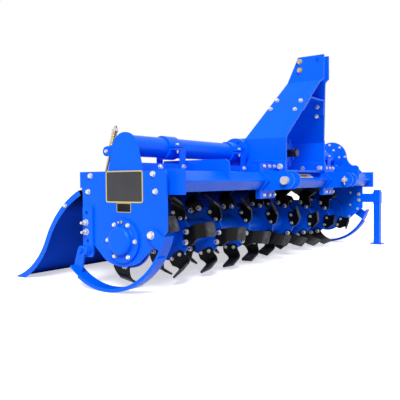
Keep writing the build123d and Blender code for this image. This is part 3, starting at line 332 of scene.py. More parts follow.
bpy.ops.object.select_all(action="DESELECT")
bpy.ops.mesh.primitive_plane_add(size=60, location=(0, 0, -0.0005))
floor = bpy.context.object
floor.name = "studio_floor"
paper = bpy.data.materials.new("studio_paper")
paper.use_nodes = True
sheet = paper.node_tree
paper_out = sheet.nodes["Material Output"]
sheet.nodes.remove(sheet.nodes["Principled BSDF"])
seen = sheet.nodes.new("ShaderNodeBsdfDiffuse")
seen.inputs["Color"].default_value = (1, 1, 1, 1)
glow = sheet.nodes.new("ShaderNodeEmission")
glow.inputs["Strength"].default_value = 0.55
lit = sheet.nodes.new("ShaderNodeAddShader")
bounce = sheet.nodes.new("ShaderNodeBsdfDiffuse")
bounce.inputs["Color"].default_value = (0.6, 0.6, 0.6, 1)
choose = sheet.nodes.new("ShaderNodeMixShader")
sheet.links.new(seen.outputs[0], lit.inputs[0])
sheet.links.new(glow.outputs[0], lit.inputs[1])
sheet.links.new(camera_share(sheet), choose.inputs[0])
sheet.links.new(bounce.outputs[0], choose.inputs[1])
sheet.links.new(lit.outputs[0], choose.inputs[2])
sheet.links.new(choose.outputs[0], paper_out.inputs["Surface"])
floor.data.materials.append(paper)
print("Floor:", floor.name, "with", paper.name)

# %% The world and the sun
scene.view_settings.view_transform = "Standard"
world = bpy.data.worlds.new("studio")
world.use_nodes = True
scene.world = world
sky = world.node_tree
backdrop = sky.nodes["Background"]
backdrop.inputs["Color"].default_value = (1, 1, 1, 1)
room = sky.nodes.new("ShaderNodeBackground")
room.inputs["Color"].default_value = (1, 1, 1, 1)
room.inputs["Strength"].default_value = 0.5
either_sky = sky.nodes.new("ShaderNodeMixShader")
sky.links.new(camera_share(sky), either_sky.inputs[0])
sky.links.new(room.outputs[0], either_sky.inputs[1])
sky.links.new(backdrop.outputs[0], either_sky.inputs[2])
sky.links.new(either_sky.outputs[0], sky.nodes["World Output"].inputs["Surface"])

sun = bpy.data.objects.new("sun", bpy.data.lights.new("sun", "SUN"))
sun.data.energy = 3.0
sun.data.angle = radians(22)
sun.rotation_euler = (radians(50), 0, radians(-58))
scene.collection.objects.link(sun)
print("Lamps:", sun.name, sun.data.energy)

# %% [markdown]
# ## Making things on the bench
# Small pieces are made standing on the origin with their working end up, then copied to their
# places. `turned` works as on a lathe: a disc is drawn up step by step to each radius and height.


# %% Bench helpers
def clear_bench():
    if bpy.context.object and bpy.context.object.mode != "OBJECT":
        bpy.ops.object.mode_set(mode="OBJECT")
    bpy.ops.object.select_all(action="DESELECT")


def finished(piece, name, material, angle=35):
    """Name a piece, smooth it up to an angle, point its faces outwards and give it its finish."""
    clear_bench()
    bpy.context.view_layer.objects.active = piece
    piece.select_set(True)
    bpy.ops.object.transform_apply(location=True, rotation=True, scale=True)
    bpy.ops.object.mode_set(mode="EDIT")
    bpy.ops.mesh.select_all(action="SELECT")
    bpy.ops.mesh.remove_doubles(threshold=0.00001)
    bpy.ops.mesh.normals_make_consistent(inside=False)
    bpy.ops.object.mode_set(mode="OBJECT")
    bpy.ops.object.shade_smooth_by_angle(angle=radians(angle))
    piece.name = name
    if material:
        piece.data.materials.clear()
        piece.data.materials.append(material)
    return piece


def turned(name, steps, material, sides=32):
    """A lathe piece: steps are (radius, height) from its lower end up."""
    clear_bench()
    radius, height = steps[0]
    bpy.ops.mesh.primitive_circle_add(
        vertices=sides, radius=radius, fill_type="NGON", location=(0, 0, height),
    )
    piece = bpy.context.object
    bpy.ops.object.mode_set(mode="EDIT")
    bpy.ops.mesh.select_all(action="SELECT")
    for new_radius, new_height in steps[1:]:
        rise = {"value": (0, 0, new_height - height)}
        bpy.ops.mesh.extrude_region_move(TRANSFORM_OT_translate=rise)
        change = new_radius / radius
        bpy.ops.transform.resize(value=(change, change, 1), center_override=(0, 0, new_height))
        radius, height = new_radius, new_height
    return finished(piece, name, material)


def joined(name, pieces):
    """Several pieces made one, under one name."""
    clear_bench()
    for piece in pieces:
        piece.select_set(True)
    bpy.context.view_layer.objects.active = pieces[0]
    bpy.ops.object.join()
    bpy.context.object.name = name
    return bpy.context.object


# %% Copies of a master at their places
masters = []


def copies(name, master, places, body="frame"):
    """One piece of copies: each place is a spot, the way the master's top points, and its twist."""
    made = []
    for spot, way, twist in places:
        copy = master.copy()
        copy.data = master.data.copy()
        scene.collection.objects.link(copy)
        aim = Vector(way).to_track_quat("Z", "Y").to_matrix().to_4x4()
        copy.data.transform(Matrix.Translation(spot) @ aim @ Matrix.Rotation(twist, 4, "Z"))
        made.append(copy)
    piece = joined(name, made)
    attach(piece, body)
    print(name, "x", len(made))
    return piece


def at(x, behind, height):
    """A place in millimetres: across the machine, behind the rotor axle, above the ground."""
    return Vector((x / 1000, axle_y + behind / 1000, height / 1000))


def facing(way, spots, start=0.2):
    """Places that all face one way, each nut turned a little further than the last."""
    return [(spot, way, start + 0.61 * k) for k, spot in enumerate(spots)]


left, right_hand = (-1, 0, 0), (1, 0, 0)
ahead, behind_it = (0, -1, 0), (0, 1, 0)
upwards, downwards = (0, 0, 1), (0, 0, -1)

# %% [markdown]
# ## Bolts and nuts
# A real hexagon has its corners taken off by a cone, and its washer is a thin disc. A bolt is a
# washer, a hexagon and a small dished top; a nut lets the bolt's rounded end stand out of it.


# %% Hexagon masters
def hexagon(name, across_flats, height, material, from_z=0.0):
    """Steps are shares of the corner's radius and of the height: chamfer, side, chamfer, dish."""
    corner = across_flats / 2 / cos(pi / 6)
    shares = [(0.95, 0), (1, 0.06), (1, 0.84), (0.9, 1), (0.62, 1), (0.58, 0.95)]
    return turned(name, [(corner * out, from_z + height * rise) for out, rise in shares], material, 6)


def washer(name, radius, thickness, material):
    return turned(name, [(radius, 0), (radius, thickness * 0.8), (radius * 0.97, thickness)], material, 28)


def bolt(name, across_flats, material):
    """A bolt head on its washer, for a thread two thirds as wide as the head."""
    lift = across_flats * 0.12
    disc = washer(name + "_washer", across_flats * 0.66, lift, material)
    head = hexagon(name + "_head", across_flats, across_flats * 0.42, material, lift)
    made = joined(name, [disc, head])
    masters.append(made)
    return made


def nut(name, across_flats, thread_out, material, end_material=None):
    """A nut on its washer, with the bolt's end standing out of it."""
    lift = across_flats * 0.12
    tall = across_flats * 0.52
    thread = across_flats * 0.31
    disc = washer(name + "_washer", across_flats * 0.66, lift, material)
    body_of_nut = hexagon(name + "_nut", across_flats, tall, material, lift)
    top = lift + tall
    end = turned(name + "_end", [
        (thread, top * 0.5), (thread, top + thread_out * 0.8), (thread * 0.8, top + thread_out),
    ], end_material or material, 18)
    made = joined(name, [disc, body_of_nut, end])
    masters.append(made)
    return made


bolt_small = bolt("bolt_small", 0.01, zinc)
bolt_mid = bolt("bolt_mid", 0.015, zinc)
bolt_large = bolt("bolt_large", 0.019, zinc)
bolt_heavy = bolt("bolt_heavy", 0.026, zinc)
bolt_yellow = bolt("bolt_yellow", 0.024, yellow_zinc)
bolt_painted = bolt("bolt_painted", 0.019, blue)
bolt_joint = bolt("bolt_joint", 0.015, blue)
nut_mid = nut("nut_mid", 0.015, 0.006, zinc)
nut_large = nut("nut_large", 0.019, 0.008, zinc)
nut_stud = nut("nut_stud", 0.022, 0.02, zinc)
nut_blade = nut("nut_blade", 0.021, 0.002, zinc, blue)
print("Masters on the bench:", [m.name for m in masters])

# %% [markdown]
# ## Side plates and rotor hubs
# Four bolts hold the near wall to the frame, and six show inside the far one. A place on a wall is
# given as (behind the axle, above the ground). The near hub is a cast housing with six bolts round
# its domed cap and a grease nipple; the far hub inside the gear case wall has the same six.

# %% Bolts of the end walls
near_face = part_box("near_side_plate")[0].x * 1000
near_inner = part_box("near_side_plate")[1].x * 1000
far_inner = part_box("far_wall")[0].x * 1000
case_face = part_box("gear_case_cover")[1].x * 1000


def on_wall(x, places):
    """Spots on an upright face at x, from places that are (behind, height)."""
    return [at(x, behind, height) for behind, height in places]


wall_bolts = on_wall(near_face, [(194, 511), (210, 439), (-174, 515), (-186, 441)])
wall_nuts = on_wall(near_inner, [(194, 505), (212, 439)])
inner_bolts = [(-166, 387), (-162, 295), (-155, 206), (-219, 266), (168, 300), (160, 395)]
copies("side_plate_bolts", bolt_large, facing(left, wall_bolts))
copies("side_plate_nuts", nut_large, facing(right_hand, wall_nuts))
copies("far_wall_bolts", bolt_mid, facing(left, on_wall(far_inner, inner_bolts)))


# %% Rings of bolts round the hubs
def ring(x, centre, radius, count, start):
    """Places round a circle in an end wall: centre is (behind, height), start in degrees."""
    turns = [radians(start + 360 / count * k) for k in range(count)]
    return [at(x, centre[0] + radius * cos(t), centre[1] + radius * sin(t)) for t in turns]


axle_height = axle_z * 1000
hub_centre = (0, axle_height)
hub_flange_t, hub_bolt_circle, hub_bolt_count = 12, 79.5, 6
near_flange_face = near_face - hub_flange_t
far_flange_face = far_inner - hub_flange_t
near_hub_spots = ring(near_flange_face, hub_centre, hub_bolt_circle, hub_bolt_count, 0)
far_hub_spots = ring(far_flange_face, hub_centre, hub_bolt_circle, hub_bolt_count, 30)
copies("near_hub_bolts", bolt_mid, facing(left, near_hub_spots))
copies("far_hub_bolts", bolt_mid, facing(left, far_hub_spots))

# %% Grease nipples of the hubs
nipple = turned("grease_nipple_master", [
    (0.0065, 0), (0.0065, 0.006), (0.0035, 0.008), (0.0032, 0.016),
    (0.0045, 0.019), (0.0045, 0.022), (0.002, 0.025),
], yellow_zinc, 16)
masters.append(nipple)
nipple_height = axle_height + 82
near_nipple = (at(near_flange_face, -4, nipple_height), left, 0)
far_nipple = (at(far_flange_face, 0, nipple_height), left, 0)
copies("grease_nipples", nipple, [near_nipple, far_nipple])

# %% [markdown]
# A thin pressed ring runs round the near hub's flange. It is turned on the bench and laid on the
# cast face.

# %% Ring on the near hub
hub_ring = turned("hub_ring_master", [
    (0.0705, 0), (0.0705, 0.003), (0.069, 0.0045), (0.0655, 0.0045), (0.0655, 0.001),
], cast_blue, 64)
masters.append(hub_ring)
copies("near_hub_ring", hub_ring, [(at(near_flange_face, 0, axle_height), left, 0)])

# %% [markdown]
# ## Label plates
# The side plate carries a dark plate with a yellow border, and a small black one below it. Both
# are left blank. Each is a thin sheet with rounded corners: the border is an inset of its face.


# %% Plain finishes for the plates
def plate_finish(name, colour, roughness):
    """A printed face, a little unevenly dull."""
    finish = Finish(name, colour, roughness, gloss=0.1)
    unevenness = finish.cloud(24.0) * 0.16 + 0.92
    dull = tuple(c * 0.82 for c in colour)
    finish.wire(Base_Color=finish.mix(finish.cloud(18.0), (*dull, 1), (*colour, 1)))
    finish.wire(Roughness=unevenness * roughness)
    return finish.material


plate_grey = plate_finish("plate_dark_grey", (0.062, 0.062, 0.07), 0.4)
plate_yellow = plate_finish("plate_yellow_border", (0.8, 0.62, 0.1), 0.4)
plate_black = plate_finish("plate_black", (0.012, 0.012, 0.014), 0.35)
plate_white = plate_finish("plate_white", (0.95, 0.95, 0.93), 0.45)
plate_orange = plate_finish("plate_orange", (0.85, 0.33, 0.05), 0.45)
print("Plates are", ", ".join(f.name for f in (plate_grey, plate_black, plate_white)))

# %% How a plate is made, and the two on the side
plate_t = 0.0012
face_sink, sink_edge = 0.0004, 0.0006


def label(name, centre, tilt, size, border, corner, inner, edge):
    """A blank plate: its size is (across, tall) in metres, and tilt stands it on its face."""
    clear_bench()
    bpy.ops.mesh.primitive_plane_add(size=1, location=(0, 0, 0))
    plate = bpy.context.object
    plate.scale = (*size, 1)
    bpy.ops.object.transform_apply(location=True, rotation=True, scale=True)
    plate.data.materials.append(edge)
    plate.data.materials.append(inner)
    bpy.ops.object.mode_set(mode="EDIT")
    bpy.ops.mesh.select_all(action="SELECT")
    bpy.ops.mesh.bevel(offset=corner, segments=5, affect="VERTICES")
    bpy.ops.mesh.select_all(action="SELECT")
    bpy.ops.mesh.extrude_region_move(TRANSFORM_OT_translate={"value": (0, 0, plate_t)})
    bpy.ops.mesh.inset(thickness=border, depth=0)
    bpy.context.object.active_material_index = 1
    bpy.ops.object.material_slot_assign()
    bpy.ops.mesh.inset(thickness=sink_edge, depth=-face_sink)
    bpy.ops.object.mode_set(mode="OBJECT")
    plate.data.transform(Matrix.Translation(centre) @ tilt)
    finished(plate, name, None)
    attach(plate, "frame")
    print(name, "of", size, "m")


on_left_wall = Matrix(((0, 0, -1), (-1, 0, 0), (0, 1, 0))).to_4x4()
label(
    "maker_plate_blank", at(near_face, -9.5, 461.5), on_left_wall, (0.215, 0.139),
    border=0.005, corner=0.011, inner=plate_grey, edge=plate_yellow,
)
label(
    "small_plate_blank", at(near_face, -7, 370), on_left_wall, (0.082, 0.04),
    border=0.002, corner=0.004, inner=plate_black, edge=plate_yellow,
)

# %% [markdown]
# A white sticker lies on the beam's upper front face, between the hitch brackets: an orange band on
# white in a dark frame, and no words.

# %% The blank sticker on the beam
beam_slope = radians(45)
on_beam = Matrix.Rotation(beam_slope, 4, "X")
beam_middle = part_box("front_beam")[0].lerp(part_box("front_beam")[1], 0.5)
beam_side_half = 35.0
beam_behind = (beam_middle.y - axle_y) * 1000
beam_height = beam_middle.z * 1000
face_step = (beam_side_half + 0.1) * sin(beam_slope)
band_lift = 0.8  # the band over the sticker, so that their faces don't meet


def on_beam_face(x, lift=0.0):
    return at(x, beam_behind - face_step - lift, beam_height + face_step + lift)


label(
    "beam_sticker_blank", on_beam_face(80), on_beam, (0.185, 0.036),
    border=0.0025, corner=0.003, inner=plate_white, edge=plate_black,
)
label(
    "beam_sticker_band", on_beam_face(66, band_lift), on_beam, (0.07, 0.014),
    border=0.001, corner=0.002, inner=plate_orange, edge=plate_orange,
)

# %% [markdown]
# ## Skid fastenings
# Each skid hangs on a long front bar with one heavy bolt, and at the rear on a drilled strap whose
# studs set its height. The small pivot bolts of the rear arm were painted with the frame.

# %% Skid bolts, both sides
skid_bar_t, strap_t, arm_out = 12, 10, 20
bar_pivot, strap_studs, arm_pivots = (-170, 258), [(217, 299), (215, 256)], [(243, 170), (203, 172)]
skid_bolt_places, stud_places, pivot_places = [], [], []
for way, side_face in ((left, near_face), (right_hand, case_face)):
    out = way[0]
    skid_bolt_places.append((at(side_face + out * skid_bar_t, *bar_pivot), way, 0.35))
    stud_places += facing(way, on_wall(side_face + out * strap_t, strap_studs))
    pivot_places += facing(way, on_wall(side_face + out * arm_out, arm_pivots))
copies("skid_bar_bolts", bolt_heavy, skid_bolt_places)
copies("skid_strap_studs", nut_stud, stud_places)
copies("skid_arm_bolts", bolt_painted, pivot_places)

# %% [markdown]
# ## Cross tube clamps and joints
# Four split clamps close on the tubes, each with two long bolts: heads above the upper ears, nuts
# below the lower ones. Round flanges with eight bolts join each tube to the gearbox.

# %% Clamp bolts and nuts
tube_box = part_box("cross_tube_near")
tube_behind = ((tube_box[0].y + tube_box[1].y) / 2 - axle_y) * 1000
tube_height = (tube_box[0].z + tube_box[1].z) * 500
tube_centre = (tube_behind, tube_height)
clamp_xs = [-910, -352, 352, 910]
ear_reach, ear_half, ear_shift = 66, 12, 5
strap_shift, strap_face, strap_height = 24, -94, 550
ear_bolts, ear_nuts, strap_spots = [], [], []
for x in clamp_xs:
    out = -1 if x < 0 else 1
    for behind in (tube_behind - ear_reach, tube_behind + ear_reach):
        ear_bolts.append(at(x + out * ear_shift, behind, tube_height + ear_half))
        ear_nuts.append(at(x + out * ear_shift, behind, tube_height - ear_half))
    strap_spots.append(at(x - out * strap_shift, strap_face, strap_height))
copies("clamp_bolts", bolt_mid, facing(upwards, ear_bolts))
copies("clamp_nuts", nut_mid, facing(downwards, ear_nuts))
rail_face, rail_height = -86, 548
rail_spots = [at(x, rail_face, rail_height) for x in (-1050, -620, 620, 1030)]
copies("strap_bolts", bolt_large, facing(ahead, strap_spots + rail_spots))

# %% Bolts of the joint flanges and of the tube's far boss
joint_far, joint_near, joint_circle = 298, 274, 66
joint_places = []
for side in (-1, 1):
    for x, way in ((side * joint_far, side), (side * joint_near, -side)):
        joint_places += facing((way, 0, 0), ring(x, tube_centre, joint_circle, 8, 22.5))
copies("joint_bolts", bolt_joint, joint_places)
boss_face = far_inner - 20
boss_circle, arch_circle = 68, 108
boss_spots = ring(boss_face, tube_centre, boss_circle, 6, 112)
arch_spots = ring(far_inner, tube_centre, arch_circle, 8, 38)[:5]  # only along the wall's round top
copies("far_boss_bolts", bolt_mid, facing(left, boss_spots + arch_spots))

# %% [markdown]
# ## Hitch brackets
# Three bolts above the beam and three below pull a front and a rear vee plate together on it. The
# lower link pins have a wide head on one side and a linch pin through the other.

# %% Bracket bolts and nuts
hitch_xs = [-387.5, 437.5]
vee_front, vee_back = -263, -235
vee_columns, vee_rows = (-20, 38, 92), (558, 407)
vee_spots = [(x + column, row) for x in hitch_xs for column in vee_columns for row in vee_rows]
vee_heads = [at(x, vee_front, height) for x, height in vee_spots]
vee_ends = [at(x, vee_back, height) for x, height in vee_spots]
copies("bracket_bolts", bolt_mid, facing(ahead, vee_heads))
copies("bracket_nuts", nut_mid, facing(behind_it, vee_ends))


# %% A linch pin with its ring
def linch_pin(name):
    bar = turned(name + "_bar", [
        (0.002, -0.03), (0.0045, -0.027), (0.0045, 0.018), (0.0035, 0.022),
    ], zinc, 16)
    clear_bench()
    bpy.ops.mesh.primitive_torus_add(
        major_radius=0.021, minor_radius=0.0022, major_segments=36, minor_segments=10,
        location=(0, 0, -0.003), rotation=(radians(90), 0, radians(24)),
    )
    hoop = finished(bpy.context.object, name + "_hoop", yellow_zinc)
    made = joined(name, [bar, hoop])
    masters.append(made)
    return made


linch = linch_pin("linch_pin_master")
pin_behind, pin_height, pin_end = -400.0, 482.0, 58
near_linch = (at(hitch_xs[0] + pin_end, pin_behind, pin_height), upwards, 0.2)
far_linch = (at(hitch_xs[1] - pin_end, pin_behind, pin_height), upwards, -0.3)
copies("linch_pins", linch, [near_linch, far_linch])

# %% [markdown]
# ## Mast fastenings
# The two mast plates lean together to the top link pin. A folded brace is bolted between them, and
# their feet are bolted to the lugs on the beam. The bolts at the top are large and yellow.

# %% Bolts through the leaning mast plates
mast_half, knee_height, neck_half, neck_height = 265.0, 714.0, 39.0, 1040.0
mast_t, brace_t = 12.0, 8.0
lean = (mast_half - neck_half) / (neck_height - knee_height)
plate_out = Vector((-1, 0, lean)).normalized()


def mast_way(side):
    """The way out of a mast plate's leaning face."""
    return Vector((-side * plate_out.x, 0, plate_out.z))


def on_mast(side, places, inside=0.0):
    """Places on a mast plate's outer face, or so many metres inside it."""
    spots = [at(side * (mast_half - (z - knee_height) * lean), y, z) for y, z in places]
    return [spot - mast_way(side) * inside for spot in spots]


brace_holes = [(-190, 937), (-166, 887), (-341, 922), (-322, 872)]
brace_grip = (mast_t + brace_t) / 1000
brace_places, inner_places = [], []
for side in (-1, 1):
    brace_places += facing(mast_way(side), on_mast(side, brace_holes))
    inner_places += facing(-mast_way(side), on_mast(side, brace_holes, brace_grip))
copies("brace_bolts", bolt_large, brace_places)
copies("brace_inner_nuts", nut_large, inner_places)
top_bolts = [(-297, 1155), (-297, 1106)]
top_places = facing(left, on_wall(-neck_half, top_bolts))
top_places += facing(right_hand, on_wall(neck_half, top_bolts))
copies("mast_top_bolts", bolt_yellow, top_places)

# %% Bolts of the mast feet
front_foot, rear_foot = (-290, 556), (-181, 555)
lug_face = mast_half + mast_t
mast_inner = mast_half - mast_t
foot_places = facing(left, [at(-lug_face, *front_foot), at(-mast_half, *rear_foot)])
foot_places += facing(right_hand, [at(lug_face, *front_foot), at(mast_half, *rear_foot)])
foot_places += facing(left, on_wall(mast_inner, [front_foot, rear_foot]))
foot_places += facing(right_hand, on_wall(-mast_inner, [front_foot, rear_foot]))
copies("mast_foot_bolts", bolt_heavy, foot_places)

# %% [markdown]
# ## Gearbox and input shaft
# Eight bolts hold the round cover at the front, a filler plug and a breather stand on top, and a drain
# plug and five bolts are at the back. The input shaft is splined: half the corners of a many-sided
# cylinder are let in by the depth of a spline, with a ring cut near the end for the yoke's lock.

# %% Gearbox bolts and plugs
nose_front = (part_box("gearbox_cover")[0].y - axle_y) * 1000
cover_face = nose_front + 8
cover_circle, cover_bolts = 76, 8
cover_places = []
for k in range(cover_bolts):
    turn = radians(22.5 + 360 / cover_bolts * k)
    spot = at(cover_circle * cos(turn), cover_face, tube_height + cover_circle * sin(turn))
    cover_places.append((spot, ahead, 0.3 * k))
copies("gearbox_cover_bolts", bolt_painted, cover_places)
plug = turned("plug_master", [
    (0.024, 0), (0.024, 0.006), (0.019, 0.008), (0.019, 0.016),
    (0.015, 0.018), (0.015, 0.024), (0.011, 0.027),
], cast_blue, 24)
masters.append(plug)
gearbox_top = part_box("gearbox")[1].z * 1000
gearbox_back = (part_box("gearbox")[1].y - axle_y) * 1000
filler = (at(-60, -20, gearbox_top), upwards, 0)
breather = (at(55, 60, gearbox_top), upwards, 0)
drain = (at(0, gearbox_back, 620), behind_it, 0)
copies("gearbox_plugs", plug, [filler, breather, drain])
back_places = [(-96, 602), (-96, 712), (0, 712), (96, 602), (96, 712)]
back_spots = [at(x, gearbox_back, height) for x, height in back_places]
copies("gearbox_back_bolts", bolt_mid, facing(behind_it, back_spots))

# %% The splined input shaft
shaft_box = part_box("pto_shaft")
spline_start, spline_end = shaft_box[1].y, shaft_box[0].y
collar_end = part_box("gearbox_cover")[0].y - 0.001
shaft_radius, collar_radius, spline_count = 0.0222, 0.027, 20
root_share = 0.9  # of the shaft's radius, at the bottom of a spline


def splined_shaft():
    """Steps are (share of the length, share of the radius), from the gearbox to the free end."""
    clear_bench()
    length = collar_end - spline_end
    steps = [(0.62, 1.0), (0.64, 0.9), (0.74, 0.9), (0.76, 1.0), (0.96, 1.0), (1.0, 0.93)]
    corners = spline_count * 4
    bpy.ops.mesh.primitive_circle_add(vertices=corners, radius=shaft_radius, fill_type="NGON")
    shaft = bpy.context.object
    bpy.ops.object.mode_set(mode="EDIT")
    bpy.ops.mesh.select_all(action="DESELECT")
    bpy.ops.object.mode_set(mode="OBJECT")
    for vertex in shaft.data.vertices:
        corner = round(atan2(vertex.co.y, vertex.co.x) / (2 * pi) * corners)
        vertex.select = corner % 4 in (2, 3)
    bpy.ops.object.mode_set(mode="EDIT")
    bpy.ops.mesh.select_mode(type="VERT")
    bpy.ops.transform.resize(value=(root_share, root_share, 1), center_override=(0, 0, 0))
    bpy.ops.mesh.select_all(action="SELECT")
    before, size_before = 0.0, 1.0
    for share, size in steps:
        rise = {"value": (0, 0, (share - before) * length)}
        bpy.ops.mesh.extrude_region_move(TRANSFORM_OT_translate=rise)
        change = size / size_before
        bpy.ops.transform.resize(value=(change, change, 1), center_override=(0, 0, share * length))
        before, size_before = share, size
    return finished(shaft, "splines", oiled_steel, 20)


splines = splined_shaft()
collar = turned("shaft_collar", [
    (collar_radius, collar_end - spline_start), (collar_radius, -0.001), (collar_radius - 0.001, 0.0),
], oiled_steel, 48)
pto = joined("splined_input_shaft", [splines, collar])
to_front = Vector(ahead).to_track_quat("Z", "Y").to_matrix().to_4x4()
pto.data.transform(Matrix.Translation((0, collar_end, tube_height / 1000)) @ to_front)
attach(pto, "pto")
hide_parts("pto_shaft")
print("The shaft ends at y =", round(spline_end, 4))

# %% [markdown]
# ## Gear case cover
# The cover's rim is closely bolted, because oil stands behind it. Bolts follow the outline: two
# arcs and the two straight runs between them. A domed cap covers the rotor's end bearing.

# %% Rim bolts of the cover
top_arc = Vector((tube_behind, tube_height, 76.0))  # centre behind the axle, its height, radius
low_arc = Vector((0.0, axle_height, 95.0))
arc_step, run_bolts = 36, 4


def on_arc(arc, degrees_round):
    turn = radians(degrees_round)
    return arc.x + arc.z * cos(turn), arc.y + arc.z * sin(turn)


rim_places = [on_arc(top_arc, a) for a in range(0, 181, arc_step)]
rim_places += [on_arc(low_arc, a) for a in range(180, 361, arc_step)]
for side in (-1, 1):
    for k in range(run_bolts):
        between = top_arc.lerp(low_arc, (k + 1) / (run_bolts + 1))
        rim_places.append((between.x + side * between.z, between.y))
copies("case_cover_bolts", bolt_small, facing(right_hand, on_wall(case_face, rim_places)))
end_cap = turned("end_cap_master", [
    (0.068, 0), (0.068, 0.006), (0.05, 0.008), (0.048, 0.016), (0.042, 0.021), (0.02, 0.024),
], cast_blue, 56)
masters.append(end_cap)
copies("case_end_cap", end_cap, [(at(case_face, 0, axle_height), right_hand, 0)])
cap_spots = ring(case_face + 6, hub_centre, 59, 6, 30)  # on the cap's 6 mm rim
copies("case_cap_bolts", bolt_small, facing(right_hand, cap_spots))

# %% [markdown]
# ## Blade bolts
# Every blade is held to its flange by two bolts, whose blue ends show inside bright nuts. All blades
# lie on their flange's near face. Those bent to the far side have their nuts on the shank and the
# heads behind the flange, and the others the other way round. The first flange has no blades bent to
# the near side, and the last none bent to the far side. All go round with the rotor.

# %% Nuts and heads of the blades
blade_bolt_radius = 117.0
first_phase, helix = 69.2, 12.6  # degrees from upright, and from flange to flange
bolt_leads = (23.2, -1.8)
shank_face, flange_back = (flange_half + blade_thick) * 1000, flange_half * 1000
nut_places, head_places = [], []


def bolt_ends(flange_x, turn):
    """The two ends of a bolt through shank and flange, each with its way out."""
    behind = -sin(turn) * blade_bolt_radius
    height = axle_height + cos(turn) * blade_bolt_radius
    near_end = (at(flange_x * 1000 - shank_face, behind, height), left, turn)
    far_end = (at(flange_x * 1000 + flange_back, behind, height), right_hand, turn)
    return near_end, far_end


for k, flange_x in enumerate(flange_xs):
    for blade in range(6):
        bent_far = blade % 2 == 0
        if k == (gang_count - 1 if bent_far else 0):
            continue
        for lead in bolt_leads:
            turn = radians(first_phase + helix * k + 60 * blade + lead)
            near_end, far_end = bolt_ends(flange_x, turn)
            nut_places.append(near_end if bent_far else far_end)
            head_places.append(far_end if bent_far else near_end)
copies("blade_nuts", nut_blade, nut_places, body="rotor")
copies("blade_bolt_heads", bolt_mid, head_places, body="rotor")
print("Blade bolts:", len(nut_places))

# %% [markdown]
# ## Parking stand
# The stand's arm is bolted to the far wall, and a sprung pin holds the post in its sleeve.

# %% Stand bolts and locking pin
stand_spots = on_wall(far_inner, [(-229, 374), (-230, 330)])
copies("stand_bolts", bolt_large, facing(left, stand_spots))
sleeve_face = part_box("stand_sleeve")[1].x
post_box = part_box("stand_post")
lock_pin = turned("lock_pin_master", [
    (0.009, 0), (0.009, 0.008), (0.0055, 0.01), (0.0055, 0.02),
    (0.0085, 0.022), (0.0085, 0.027), (0.006, 0.029),
], blue, 24)
masters.append(lock_pin)
lock_height = 0.347
lock_spot = Vector((sleeve_face, (post_box[0].y + post_box[1].y) / 2, lock_height))
copies("stand_lock_pin", lock_pin, [(lock_spot, right_hand, 0)])

# %% [markdown]
# ## Spring rods
# Each rod runs up through its swivel. A coil spring sits between the swivel and the washer under
# the rod's nut. The coil is one small circle carried round and up by a Screw modifier. The spring
# stays with the frame, and washer and nut go up with the rod. Places along a rod are measured in
# millimetres from the eye at its lower end.


# %% A coil spring
def coil(name, radius, wire, length, turns, material):
    """A spring of a wire's radius wound on its own radius, with closed ends to the wire."""
    clear_bench()
    bpy.ops.mesh.primitive_circle_add(
        vertices=8, radius=wire, location=(radius, 0, wire), rotation=(radians(90), 0, 0),
    )
    spring = bpy.context.object
    bpy.ops.object.transform_apply(location=True, rotation=True, scale=True)
    bpy.ops.object.modifier_add(type="SCREW")
    screw = spring.modifiers[-1]
    screw.axis = "Z"
    screw.angle = 2 * pi
    screw.screw_offset = (length - 2 * wire) / turns
    screw.iterations = turns
    screw.steps = screw.render_steps = 20
    screw.use_normal_calculate = True
    bpy.ops.object.modifier_apply(modifier=screw.name)
    bpy.ops.object.mode_set(mode="EDIT")
    bpy.ops.mesh.select_all(action="DESELECT")
    bpy.ops.mesh.select_non_manifold()
    bpy.ops.mesh.edge_face_add()
    return finished(spring, name, material, 60)


rod_xs = [-1000, 1000]
rod_way = Vector(joint_rows["rod_slide"]["axis"])
eye_behind, eye_height = 322.02, 458.16
swivel_pin, spring_foot, washer_foot, nut_foot = 183, 198, 286.5, 290.1


def up_rod(x, along):
    return at(x, eye_behind, eye_height) + rod_way * along / 1000


spring = coil("spring_master", 0.0125, 0.0024, 0.088, 11, yellow_zinc)
rod_washer = washer("rod_washer_master", 0.017, 0.0035, yellow_zinc)
rod_nut = hexagon("rod_nut_master", 0.024, 0.013, zinc)
masters += [spring, rod_washer, rod_nut]
spring_places = [(up_rod(x, spring_foot), rod_way, 0.5) for x in rod_xs]
washer_places = [(up_rod(x, washer_foot), rod_way, 0) for x in rod_xs]
rod_nut_places = [(up_rod(x, nut_foot), rod_way, 0.3 * k) for k, x in enumerate(rod_xs)]
copies("rod_springs", spring, spring_places)
copies("rod_washers", rod_washer, washer_places, body="rods")
copies("rod_nuts", rod_nut, rod_nut_places, body="rods")

# %% Bolts through the swivels, the eyes and the board's rim
arm_half, lug_half = 28, 19
arm_places, eye_places = [], []
for x in rod_xs:
    arm_places.append((up_rod(x - arm_half, swivel_pin), left, 0.2))
    arm_places.append((up_rod(x + arm_half, swivel_pin), right_hand, 0.4))
    eye_places.append((up_rod(x - lug_half, 0), left, 0.1))
    eye_places.append((up_rod(x + lug_half, 0), right_hand, 0.5))
copies("rod_arm_bolts", bolt_mid, arm_places)
board_ends = [corner.x * 1000 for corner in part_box("trailing_board")]
rim_hole = (384, 372)
board_places = [(at(x, *rim_hole), way, 0.1) for x, way in zip(board_ends, (left, right_hand))]
copies("board_rim_bolts", bolt_mid, board_places, body="board")
copies("eye_pin_heads", bolt_small, eye_places, body="board")

# %% [markdown]
# ## Weld beads
# A hand-laid bead is a row of overlapping ripples. One ripple is a flattened ball; a seam copies it
# at even steps along the joint, and the paint goes over it.

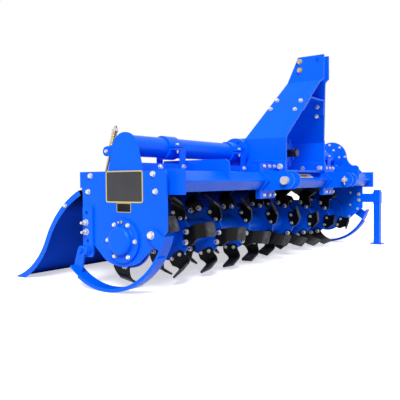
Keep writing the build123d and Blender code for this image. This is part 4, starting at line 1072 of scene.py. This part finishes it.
# %% A ripple and the seams that use it
clear_bench()
bpy.ops.mesh.primitive_uv_sphere_add(segments=8, ring_count=6, radius=0.004)
ripple = bpy.context.object
bpy.ops.transform.resize(value=(0.8, 1.0, 1.0))
ripple = finished(ripple, "ripple_master", blue, 80)
masters.append(ripple)
ripple_step = 0.0052


def seam(start, end):
    """Ripple places along one straight joint."""
    run = end - start
    count = max(2, int(run.length / ripple_step))
    return [(start + run * (k / count), run, 0.4 * k) for k in range(count + 1)]


def ring_seam(centre, radius, way, steps):
    """Ripple places round a tube's end."""
    aim = Vector(way).to_track_quat("Z", "Y").to_matrix()
    turns = [2 * pi * k / steps for k in range(steps)]
    spots = [centre + aim @ Vector((cos(turn), sin(turn), 0)) * radius for turn in turns]
    return [(spot, spots[(k + 1) % steps] - spot, 0.4 * k) for k, spot in enumerate(spots)]


# %% Weld the mast's feet and the hitch cheeks
bead_places = []
seat_front, seat_rear, seat_height = -295, -110, 588
for x in (-mast_half, -mast_inner, mast_half, mast_inner):
    bead_places += seam(at(x, seat_front, seat_height), at(x, seat_rear, seat_height))
cheek_inner, cheek_outer = 31, 43
vee_nose = -311
upper_seam, lower_seam = (535, 487), (429, 477)  # heights at the flanges and at the nose
for hitch in hitch_xs:
    for x in (hitch - cheek_outer, hitch - cheek_inner, hitch + cheek_inner, hitch + cheek_outer):
        bead_places += seam(at(x, vee_front, upper_seam[0]), at(x, vee_nose, upper_seam[1]))
        bead_places += seam(at(x, vee_nose, lower_seam[1]), at(x, vee_front, lower_seam[0]))

# %% Weld the cross tubes' ends
tube_radius, tube_ripples = 0.046, 56
weld_xs = (near_inner + 8, near_inner + 16, -299, 299, far_inner - 35)
for x in weld_xs:
    bead_places += ring_seam(at(x, *tube_centre), tube_radius, right_hand, tube_ripples)
beads = copies("weld_beads", ripple, bead_places)
print("Triangles of the beads:", sum(len(face.vertices) - 2 for face in beads.data.polygons))

# %% [markdown]
# ## Clear the bench and finish
# The masters have served and go.

# %% Clear away the masters
clear_bench()
for master in masters:
    bpy.data.objects.remove(master, do_unlink=True)
